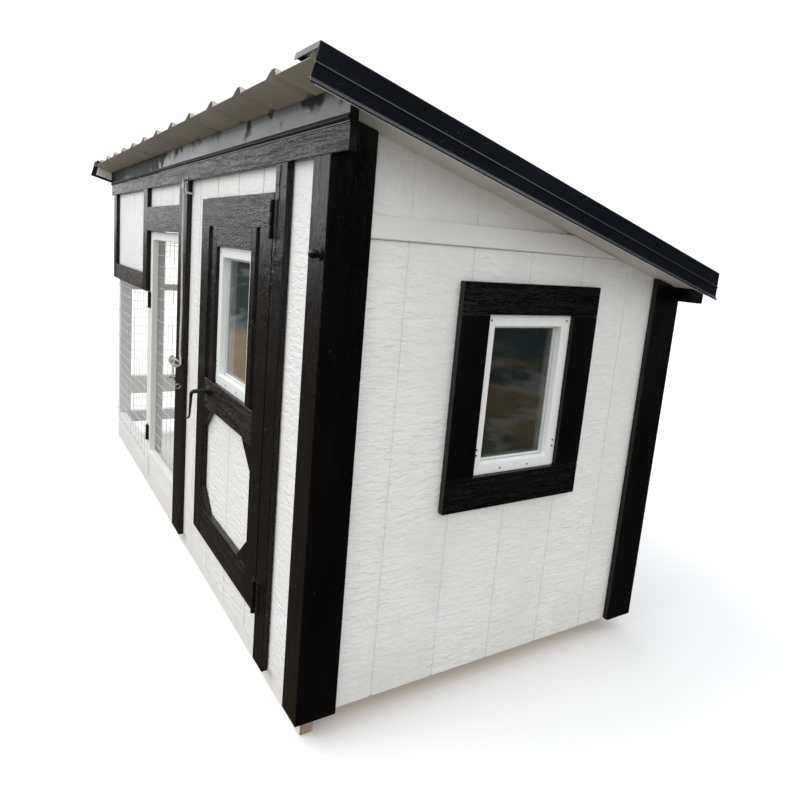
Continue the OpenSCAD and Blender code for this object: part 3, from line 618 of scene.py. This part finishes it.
# ---------------------------------------------------------------- mesh helper


def ways(path):
    """Direction of a path at each of its points."""
    return [(b - a).normalized() for a, b in zip(path[:1] + path, path[1:] + path[-1:])]


def ring(centre, a, b, sides):
    """Points round a centre, on the ellipse with half axes a and b."""
    turns = (2 * math.pi * k / sides for k in range(sides))
    return [centre + a * math.cos(t) + b * math.sin(t) for t in turns]


def tube_faces(rings, sides):
    """Quads between rings that follow one another."""
    return [[i + k, i + (k + 1) % sides, i + (k + 1) % sides + sides, i + k + sides]
            for i in range(0, (rings - 1) * sides, sides) for k in range(sides)]


class Solid:
    """Collects vertices and faces for one piece."""

    def __init__(self):
        self.verts, self.faces = [], []

    def add(self, verts, faces):
        start = len(self.verts)
        self.verts += [Vector(v) for v in verts]
        self.faces += [[start + i for i in face] for face in faces]

    def sweep(self, path, radius, sides=8, flat=1.0, side=None):
        """Bar along a path; radius is one number or one per point, flat stretches the bar along side."""
        path = [Vector(p) for p in path]
        radii = radius if isinstance(radius, (list, tuple)) else [radius] * len(path)
        ahead = ways(path)
        across = Vector(side) if side else ahead[0].orthogonal()
        verts = []
        for point, way, r in zip(path, ahead, radii):
            across = (across - way * across.dot(way)).normalized()
            verts += ring(point, across * (r * flat), way.cross(across) * r, sides)
        last = (len(path) - 1) * sides
        ends = [list(range(sides))[::-1], list(range(last, last + sides))]
        self.add(verts, tube_faces(len(path), sides) + ends)

    def lathe(self, centre, axis, profile, sides=24):
        """Turned shape; profile lists (distance along the axis, radius), from one radius 0 to another."""
        centre, axis = Vector(centre), Vector(axis).normalized()
        u = axis.orthogonal().normalized()
        v = axis.cross(u)
        verts = []
        for along, r in profile[1:-1]:
            verts += ring(centre + axis * along, u * r, v * r, sides)
        low, high = len(verts), len(verts) + 1
        last = low - sides
        faces = tube_faces(len(profile) - 2, sides)
        for k in range(sides):
            faces.append([low, (k + 1) % sides, k])
            faces.append([high, last + k, last + (k + 1) % sides])
        self.add(verts + [centre + axis * profile[0][0], centre + axis * profile[-1][0]], faces)

    def block(self, low, high):
        """Box between two corners."""
        xs, ys, zs = zip(low, high)
        verts = [(x, y, z) for x in xs for y in ys for z in zs]
        self.add(verts, [[0, 1, 3, 2], [4, 6, 7, 5], [0, 4, 5, 1], [2, 3, 7, 6], [0, 2, 6, 4], [1, 5, 7, 3]])

    def piece(self, name, material, body, slot, smooth=40, bevel=0.0, stands_for=()):
        """One object of all that was collected, riding a body in place of the CAD nodes it stands for."""
        mesh = bpy.data.meshes.new(name)
        mesh.from_pydata([tuple(v) for v in self.verts], [], self.faces)
        shape = bmesh.new()
        shape.from_mesh(mesh)
        bmesh.ops.recalc_face_normals(shape, faces=shape.faces)
        shape.to_mesh(mesh)
        shape.free()
        mesh.polygons.foreach_set("use_smooth", [True] * len(mesh.polygons))
        mesh.set_sharp_from_angle(angle=math.radians(smooth))
        obj = bpy.data.objects.new(name, mesh)
        bpy.context.scene.collection.objects.link(obj)
        mesh.materials.append(MAT[material])
        tag(obj)
        if bevel:
            ease_edges(obj, bevel, 2, 40)
        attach(obj, body)
        if stands_for:
            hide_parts(*stands_for)


def rounded(points, steps=8):
    """Smooth path through points (Catmull-Rom)."""
    pts = [Vector(p) for p in points]
    pts = [pts[0] * 2 - pts[1]] + pts + [pts[-1] * 2 - pts[-2]]
    path = []
    for a, b, c, d in zip(pts, pts[1:], pts[2:], pts[3:]):
        square, cube = 2 * a - 5 * b + 4 * c - d, 3 * b - a - 3 * c + d
        for k in range(steps):
            t = k / steps
            path.append(b + 0.5 * ((c - a) * t + square * t ** 2 + cube * t ** 3))
    return path + [pts[-2]]


# ---------------------------------------------------------------- wire mesh

# Radius of a wire, and the welded mesh's 3 in by 2 in cells
WIRE = 0.00105
CELL_U, CELL_V = 0.0762, 0.0508


def wire_panel(solid, origin, u, v, out, width, height, top=None):
    """Welded mesh: uprights behind, level wires in front, each a little out of true.

    top gives the height of a sloping upper edge at a distance along u.
    """
    origin, u, v, out = (Vector(a) for a in (origin, u, v, out))

    def wire(start, way, length, lift, across):
        count = max(4, int(length / 0.045))
        wave, phase = rng.uniform(0.0002, 0.0007), rng.uniform(0, 6.3)
        lean = rng.uniform(-0.0008, 0.0008)
        path = []
        for k in range(count + 1):
            t = k / count
            sway = wave * math.sin(phase + t * length * 31) + lean * (t - 0.5)
            bow = lift + 0.4 * wave * math.sin(phase + 9 * t)
            path.append(start + way * (t * length) + across * sway + out * bow)
        solid.sweep(path, WIRE, 6)

    columns = int(width / CELL_U + 1e-6) + 1
    rows = int(height / CELL_V + 1e-6) + 1
    for i in range(columns):
        at = i * CELL_U
        reach = height if top is None else min(height, top(at))
        wire(origin + u * at, v, reach, 0.0, u)
    for j in range(rows):
        at = j * CELL_V
        reach = width
        while top is not None and reach > 0 and top(reach) < at:
            reach -= 0.004
        if reach > 0.02:
            wire(origin + v * at, u, reach, 0.0013, v)


def panel_of(node, name, body):
    """A panel in the XZ plane over the box of a CAD mesh node."""
    low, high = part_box(node)
    solid = Solid()
    half = (high.y - low.y) / 2
    corner = low + Vector((half, half, half))
    wire_panel(solid, corner, LONG, UP, -DEEP, high.x - low.x - 2 * half, high.z - low.z - 2 * half)
    solid.piece(name, "wire", body, "galvanised", 60, stands_for=(node,))


panel_of("run_door_mesh", "run_door_wires", "run_door")
panel_of("front_bay_mesh", "front_bay_wires", "coop")


def rear_panels():
    """The mesh of the run's back, and of its far end up to the sloping roof."""
    back_height = 0.703
    soffit_z, under_soffit = 1.370, 0.041  # the soffit at y = 0, and how far below it the mesh ends
    low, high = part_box("rear_run_mesh")
    frame_low, frame_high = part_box("back_wall_frame")
    floor_line = low.z + 0.001
    inner = frame_high.y - 0.015
    solid = Solid()
    start = (frame_low.x + 0.016, high.y - 0.001, floor_line)
    wire_panel(solid, start, LONG, UP, DEEP, high.x - frame_low.x - 0.017, back_height)

    def below_roof(at):
        return soffit_z - under_soffit - (at - inner) * math.tan(PITCH) - floor_line

    start = (low.x + 0.001, -inner, floor_line)
    wire_panel(solid, start, DEEP, UP, -LONG, 2 * inner, high.z - floor_line, below_roof)
    solid.piece("rear_run_wires", "wire", "coop", "galvanised", 60, stands_for=("rear_run_mesh",))


rear_panels()


def staples():
    """Fence staples over the mesh wires, along the timber they are nailed to."""
    leg = ((-0.005, -0.004), (-0.005, 0.0016), (-0.0025, 0.0034))

    def staple(solid, at, across, out):
        bent = leg + tuple((-a, b) for a, b in reversed(leg))
        solid.sweep([Vector(at) + across * a + out * b for a, b in bent], 0.0008, 6)

    fixed, moving = Solid(), Solid()
    low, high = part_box("front_bay_mesh")
    for k in range(6):
        z = low.z + 0.06 + k * 0.15
        for x in (low.x + 0.012, high.x - 0.012):
            staple(fixed, (x, low.y, z), UP, -DEEP)
    for k in range(9):
        staple(fixed, (low.x + 0.04 + k * CELL_U * 1.2, low.y, low.z + 0.012), LONG, -DEEP)
    low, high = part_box("rear_run_mesh")
    for k in range(5):
        for x in (low.x + 0.035, high.x - 0.02):
            staple(fixed, (x, high.y, low.z + 0.07 + k * 0.14), UP, DEEP)
    for k in range(9):
        staple(fixed, (low.x, -0.5 + k * 0.125, low.z + 0.012), DEEP, -LONG)
    low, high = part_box("run_door_mesh")
    for k in range(7):
        for x in (low.x + 0.006, high.x - 0.006):
            staple(moving, (x, high.y, low.z + 0.05 + k * 0.155), UP, DEEP)
    fixed.piece("wall_mesh_staples", "zinc", "coop", "galvanised", 60)
    moving.piece("door_mesh_staples", "zinc", "run_door", "galvanised", 60)


staples()


# ---------------------------------------------------------------- rope and cleat


def cord(solid, path):
    """Three twisted strands along a path."""
    radius, turns_per_m, step = 0.0038, 35, 0.0024
    path = [Vector(p) for p in path]
    dense, run = [], 0.0
    for a, b in zip(path, path[1:]):
        steps = max(1, int((b - a).length / step))
        dense += [a.lerp(b, k / steps) for k in range(steps)]
    dense.append(path[-1])
    across = (dense[1] - dense[0]).orthogonal()
    strands = [[], [], []]
    for i, (point, way) in enumerate(zip(dense, ways(dense))):
        across = (across - way * across.dot(way)).normalized()
        other = way.cross(across)
        if i:
            run += (point - dense[i - 1]).length
        for k, strand in enumerate(strands):
            t = (run * turns_per_m + k / 3) * 2 * math.pi
            strand.append(point + (across * math.cos(t) + other * math.sin(t)) * radius * 0.5)
    for strand in strands:
        solid.sweep(strand, radius * 0.58, 6)


def back_middle(node):
    """Middle of a fitting's back, on the face of its board."""
    low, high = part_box(node)
    return Vector(((low.x + high.x) / 2, high.y, (low.z + high.z) / 2))


def rope():
    """Cord from its wall hole over the sheave and down, wound round the cleat, with a frayed end."""
    sheave_low, sheave_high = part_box("pulley_sheave")
    hub = (sheave_low + sheave_high) / 2
    x, _, z = back_middle("rope_cleat")
    y, groove, wall_hole = hub.y, 0.012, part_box("rope")[1].y + 0.001
    left, right, hang = hub.x - groove, hub.x + groove, hub.z - 0.05
    path = [(right, wall_hole, hub.z - 0.026), (right, y + 0.012, hub.z - 0.026),
            (right, y + 0.003, hub.z - 0.023), (right, y, hub.z - 0.014), (right, y, hub.z)]
    turns = [math.pi * k / 12 for k in range(1, 12)]
    path += [(hub.x + groove * math.cos(t), y, hub.z + groove * math.sin(t)) for t in turns]
    path += [(left, y, hub.z), (left, y, hang)]
    drop = hang - z - 0.03
    path += [(left + 0.0012 * math.sin(k * 1.3), y - 0.0015 * math.sin(k * 0.9), hang - drop * k / 8)
             for k in range(1, 8)]
    wraps = [
        (left, y, z + 0.026), (x + 0.034, y - 0.001, z + 0.004), (x + 0.027, y - 0.004, z - 0.014),
        (x + 0.005, y - 0.024, z - 0.004), (x - 0.020, y - 0.026, z + 0.010),
        (x - 0.032, y - 0.011, z + 0.008), (x - 0.031, y - 0.004, z - 0.006),
        (x - 0.020, y - 0.018, z - 0.016), (x + 0.002, y - 0.029, z), (x + 0.025, y - 0.027, z + 0.013),
        (x + 0.039, y - 0.013, z + 0.007), (x + 0.037, y - 0.005, z - 0.008),
        (x + 0.023, y - 0.021, z - 0.018), (x + 0.004, y - 0.035, z - 0.002),
        (x + 0.010, y - 0.033, z + 0.018), (x + 0.022, y - 0.026, z + 0.024),
        (x + 0.031, y - 0.024, z + 0.006), (x + 0.026, y - 0.028, z - 0.016),
        (x + 0.021, y - 0.024, z - 0.034),
    ]
    solid = Solid()
    cord(solid, path + rounded(wraps, 7))
    end = Vector(wraps[-1])
    knot = [(0, 0), (0, 0.0038), (0.006, 0.0052), (0.010, 0.0042), (0.012, 0.0020), (0.0125, 0)]
    solid.lathe(end + UP * 0.002, -UP, knot, 12)
    for k in range(9):
        t = k * 2.4
        way = Vector((math.cos(t), math.sin(t), 0))
        tip = end + way * 0.004 - UP * (0.022 + rng.uniform(0, 0.006))
        solid.sweep([end + way * 0.0012 - UP * 0.010, tip], [0.0008, 0.0003], 5)
    solid.piece("rope_cord", "rope", "coop", "rope", 60, stands_for=("rope",))


def rope_cleat():
    """Two-horned cleat on a screwed base plate."""
    base = back_middle("rope_cleat")
    cleat = Solid()
    half = [(0.015, -0.0225, 0.0068), (0.030, -0.0235, 0.0058), (0.041, -0.0255, 0.0046),
            (0.046, -0.026, 0.0032)]
    horns = [(-a, b, r) for a, b, r in reversed(half)] + [(0, -0.022, 0.0074)] + half
    cleat.sweep([base + Vector((a, b, 0)) for a, b, _ in horns], [r for _, _, r in horns], 14)
    for side in (-1, 1):
        leg = [(0.013, -0.0035), (0.011, -0.012), (0.008, -0.022)]
        cleat.sweep([base + Vector((side * a, b, 0)) for a, b in leg], [0.0078, 0.0058, 0.0060], 14)
        head = [(0, 0), (0, 0.0034), (0.0010, 0.0032), (0.0016, 0.0018), (0.0016, 0)]
        cleat.lathe(base + Vector((side * 0.0165, -0.004, 0)), -DEEP, head, 14)
    cleat.block(base + Vector((-0.022, -0.004, -0.010)), base + Vector((0.022, 0, 0.010)))
    cleat.piece("rope_cleat_casting", "iron", "coop", "black_metal", 35, 0.0012, ("rope_cleat",))


rope()
rope_cleat()


# ---------------------------------------------------------------- handle, screws and beads


def handle_rose():
    """Round rose with two screws on the door."""
    centre = back_middle("handle_rose")
    rose = Solid()
    plate = [(0, 0), (0, 0.0175), (0.0025, 0.0175), (0.0048, 0.0160), (0.0060, 0.0125), (0.0062, 0.0085),
             (0.0075, 0.0080), (0.0085, 0.0072), (0.0085, 0)]
    rose.lathe(centre, -DEEP, plate, 40)
    head = [(0, 0), (0, 0.0024), (0.0009, 0.0021), (0.0013, 0.0010), (0.0013, 0)]
    for side in (-1, 1):
        rose.lathe(centre - DEEP * 0.0054 + UP * (side * 0.0125), -DEEP, head, 12)
    rose.piece("handle_rose_plate", "iron", "door", "black_metal", 35, stands_for=("handle_rose",))


def handle_lever():
    """Hanging lever with a thinning grip, its spindle through the door and a flat bar on the inside."""
    # Distance in front of the door, height from the spindle, radius
    bends = [
        (0.0085, 0, 0.0092), (0.020, 0, 0.0086), (0.034, 0, 0.0076), (0.049, 0, 0.0070),
        (0.0560, -0.003, 0.0068), (0.0582, -0.011, 0.0058), (0.0590, -0.030, 0.0050),
        (0.0605, -0.056, 0.0042), (0.0618, -0.078, 0.0036), (0.0632, -0.087, 0.0036),
        (0.0670, -0.0905, 0.0034), (0.0705, -0.0905, 0.0026),
    ]
    centre, steps = back_middle("handle_rose"), 4
    path = rounded([centre + Vector((0, -away, up)) for away, up, _ in bends], steps)
    radii = [r for _, _, r in bends]
    fine = [a + (b - a) * k / steps for a, b in zip(radii, radii[1:]) for k in range(steps)] + radii[-1:]
    lever = Solid()
    lever.sweep(path, fine, 16, 1.15, LONG)
    low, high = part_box("handle_lever")
    lever.sweep([centre - DEEP * 0.009, (centre.x, high.y, centre.z)], 0.0050, 12)
    lever.block((low.x, high.y - 0.005, low.z), high)
    lever.piece("handle_grip", "iron", "handle", "black_metal", 40, 0.0007, ("handle_lever",))


handle_rose()
handle_lever()


def screw(solid, at, out, radius=0.0036, height=0.0012):
    """Round-headed screw with a sunk drive."""
    head = [(0, 1), (0.6, 0.86), (1, 0.55), (1, 0.34), (0.35, 0.28), (0.35, 0)]
    profile = [(-0.001, 0), (-0.001, radius)] + [(height * a, radius * b) for a, b in head]
    solid.lathe(at, out, profile, 16)


def hinge_screws(node, side, leaf_height, rows, radius, moving, fixed):
    """Screws of a pair of hinges; side is 1 or -1, the way from the moving leaves to the fixed ones."""
    knuckle, leaf_thick, reach = 0.0055, 0.002, 0.0155
    low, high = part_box(node)
    pin = (high.x if side > 0 else low.x) - side * knuckle
    for base in (low.z, high.z - leaf_height):
        for up in rows:
            for solid, x in ((moving, pin - side * reach), (fixed, pin + side * reach)):
                screw(solid, (x, high.y - leaf_thick, base + up), -DEEP, radius)


def fitting_screws():
    """Screws of the hinges, the run door's latch and the pulley."""
    fixed, door, run_door = Solid(), Solid(), Solid()
    hinge_screws("door_hinge_leaves", 1, 0.100, (0.017, 0.050, 0.083), 0.0036, door, fixed)
    hinge_screws("run_door_hinge_leaves", -1, 0.076, (0.014, 0.038, 0.062), 0.003, run_door, fixed)
    low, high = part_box("run_door_latch_body")
    for up in (-0.0105, 0.0105):
        for x in (low.x + 0.015, low.x + 0.0215):
            screw(run_door, (x, low.y + 0.0135, (low.z + high.z) / 2 + up), -DEEP, 0.0022, 0.0008)
    low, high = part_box("pulley_bracket")
    for z, radius in ((high.z - 0.010, 0.0034), (low.z + 0.007, 0.0028)):
        screw(fixed, ((low.x + high.x) / 2, high.y - 0.002, z), -DEEP, radius)
    fixed.piece("wall_fitting_screws", "iron", "coop", "black_metal", 35)
    door.piece("door_hinge_screws", "iron", "door", "black_metal", 35)
    run_door.piece("run_door_screws", "iron", "run_door", "black_metal", 35)


fitting_screws()


def window_details(frame_node, glass_node, name, body, out):
    """Glazing bead and screws of one window; out is the way its pane faces."""
    low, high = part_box(frame_node)
    glass_low, glass_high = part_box(glass_node)
    on_end = out.x > 0
    flat = DEEP if on_end else LONG
    face = high.x if on_end else low.y
    bead_face = glass_high.x + 0.0016 if on_end else glass_low.y - 0.0016

    def at(along, up, depth):
        return Vector((depth, along, up)) if on_end else Vector((along, depth, up))

    first, last = low.dot(flat), high.dot(flat)
    screws, bead = Solid(), Solid()
    head = [(-0.001, 0), (-0.001, 0.0031), (0.0005, 0.0029), (0.0007, 0.0022), (0.0002, 0.0012), (0.0002, 0)]
    for along, up in (
        (first + 0.012, low.z + 0.075), (first + 0.012, low.z + 0.058), (last - 0.012, low.z + 0.078),
        (last - 0.012, low.z + 0.060), (first + 0.105, low.z + 0.013), (last - 0.105, low.z + 0.013),
        (first + 0.016, high.z - 0.016), (last - 0.016, high.z - 0.016),
    ):
        screws.lathe(at(along, up, face), out, head, 14)
    inset = 0.0030
    left, right = glass_low.dot(flat) + inset, glass_high.dot(flat) - inset
    bottom, top = glass_low.z + inset, glass_high.z - inset
    places = ((left, bottom), (right, bottom), (right, top), (left, top), (left, bottom))
    corners = [at(along, up, bead_face) for along, up in places]
    for pair in zip(corners, corners[1:]):
        bead.sweep(pair, 0.0042, 10)
    screws.piece(name + "_screws", "iron", body, "black_metal", 40)
    bead.piece(name + "_gasket", "gasket", body, "vinyl", 60)


def jamb_split():
    """A split down from the top of the hinge-side board."""
    low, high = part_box("door_jamb_board")
    x, y, z = low.x, low.y + 0.0004, high.z
    bends = [(0.034, 0.004), (0.029, 0.045), (0.032, 0.070), (0.026, 0.108),
             (0.028, 0.138), (0.020, 0.178), (0.023, 0.203), (0.014, 0.243)]
    path = rounded([(x + a, y, z - b) for a, b in bends], 6)
    width = [0.0014 * (1 - k / len(path)) + 0.0004 + rng.uniform(0, 0.0004) for k in range(len(path))]
    split = Solid()
    split.sweep(path, width, 8)
    split.piece("jamb_board_split", "crack", "coop", "black_board", 60)


def board_screws():
    """Sunk screw heads along the trim boards, a little off their lines."""
    fixed, door = Solid(), Solid()
    proud, header_line = 0.0001, 1.462

    def heads(solid, node, points):
        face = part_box(node)[0].y
        for a, b in points:
            a, b = a + rng.uniform(-0.003, 0.003), b + rng.uniform(-0.004, 0.004)
            screw(solid, (a, face - proud, b), -DEEP, 0.0030, 0.0008)

    for node in ("door_jamb_board", "rope_post_board"):
        low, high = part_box(node)
        span = high.z - low.z
        heads(fixed, node, [(x, low.z + span * (0.04 + 0.23 * k)) for k in range(5)
                            for x in (low.x + 0.014, high.x - 0.014)])
    low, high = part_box("header_boards")
    heads(fixed, "header_boards", [(low.x + 0.05 + 0.38 * k, header_line) for k in range(8)])
    low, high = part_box("door_stiles")
    span = high.z - low.z
    for x in (low.x + 0.018, low.x + 0.070, high.x - 0.070, high.x - 0.018):
        heads(door, "door_stiles", [(x, low.z + 0.05 + (span - 0.1) * k / 3) for k in range(4)])
    low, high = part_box("end_window_trim")
    for y in (low.y + 0.022, (low.y + high.y) / 2, high.y - 0.022):
        for z in (low.z + 0.022, high.z - 0.022):
            screw(fixed, (high.x + proud, y + rng.uniform(-0.004, 0.004), z), LONG, 0.0030, 0.0008)
    low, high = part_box("corner_boards_near")
    for y in (low.y + 0.030, low.y + 0.095):
        for k in range(5):
            screw(fixed, (high.x + proud, y, low.z + 0.06 + k * 0.30), LONG, 0.0030, 0.0008)
    fixed.piece("trim_board_screws", "black", "coop", "black_board", 35)
    door.piece("door_board_screws", "black", "door", "black_board", 35)


jamb_split()
board_screws()

window_details("end_window_frame", "end_window_glass", "end_window", "coop", LONG)
window_details("door_window_frame", "door_window_glass", "door_window", "door", -DEEP)


# ---------------------------------------------------------------- studio


def paper_floor():
    """Pale floor that gives the coop neither bounced light nor a reflection."""
    bpy.ops.mesh.primitive_plane_add(size=60)
    floor = bpy.context.object
    floor.name = "floor"
    s = Shader("floor_paper")
    tone = s.mix(s.noise(s.place(), 1.5, 2.0), (0.93, 0.93, 0.93), (0.95, 0.95, 0.95))
    floor.data.materials.append(s.surface(tone, 0.9, Specular_IOR_Level=0.1))
    floor.visible_diffuse = False
    floor.visible_glossy = False


def overcast_world():
    """Soft sky for the light, a yard with trees for what gloss mirrors, plain white for the camera."""
    w = Shader("overcast", world=True)
    bpy.context.scene.world = w.owner
    look = w.node("TexCoord", out=0)
    x, _, z = w.split(look)
    sky = w.mix(w.span(z, 0.0, 1.0), (0.98, 0.99, 1.0), (0.86, 0.90, 0.96))
    ground = w.mix(w.noise(look, 5.0, 4.0), (0.40, 0.385, 0.365), (0.52, 0.505, 0.485))
    lit = w.mix(w.span(x, 0.0, 0.7), sky, (1.24, 1.24, 1.22))
    soft = w.mix(w.span(z, -0.05, 0.05), ground, lit)
    open_side = w.span(x, 0.15, -0.25)
    near = w.mix(w.noise(look, 9.0, 5.0), (0.055, 0.044, 0.034), (0.15, 0.125, 0.10))
    far = w.mix(w.noise(look, 9.0, 5.0), (0.008, 0.009, 0.013), (0.034, 0.034, 0.040))
    gravel = w.mix(open_side, far, near)
    trees = w.mix(w.noise(look, (3, 3, 14), 5.0), (0.002, 0.005, 0.010), (0.020, 0.028, 0.042))
    line = w.span(w.noise(look, (6, 6, 1), 4.0), 0.3, 0.7, 0.36, 0.55)
    over_trees = w.span(w.math("SUBTRACT", z, line), -0.03, 0.08)
    seen = w.mix(w.math("MAXIMUM", open_side, over_trees), trees, w.scaled(sky, 1.6))
    seen = w.mix(w.span(z, -0.02, 0.02), gravel, seen)
    ray = w.tree.nodes.new("ShaderNodeLightPath").outputs
    colour = w.mix(ray["Is Glossy Ray"], soft, seen)
    colour = w.mix(ray["Is Camera Ray"], colour, (1.05, 1.05, 1.05))
    w.node("OutputWorld", {"Surface": w.node("Background", {"Color": colour, "Strength": 1.0})})


def soft_sun():
    """Wide pale sun, high in front of the coop and a little towards the run's end."""
    sun = bpy.data.lights.new("soft_sun", "SUN")
    sun.energy = 1.65
    sun.angle = math.radians(50)
    sun.color = (1.0, 0.985, 0.96)
    lamp = bpy.data.objects.new("soft_sun", sun)
    lamp.rotation_euler = Vector((-0.35, -0.85, 0.95)).to_track_quat("Z", "Y").to_euler()
    bpy.context.scene.collection.objects.link(lamp)


def camera():
    """The photograph's viewpoint, off the near front corner."""
    data = bpy.data.cameras.new("camera")
    data.sensor_width = 36
    data.lens = 28.60
    data.shift_x, data.shift_y = 0.0451, -0.0515
    cam = bpy.data.objects.new("camera", data)
    cam.location = (2.6553, -1.2767, 1.2564)
    cam.rotation_euler = [math.radians(angle) for angle in (80.053, -4.260, 59.965)]
    bpy.context.scene.collection.objects.link(cam)
    bpy.context.scene.camera = cam


paper_floor()
overcast_world()
soft_sun()
camera()
bpy.context.scene.view_settings.view_transform = "Standard"
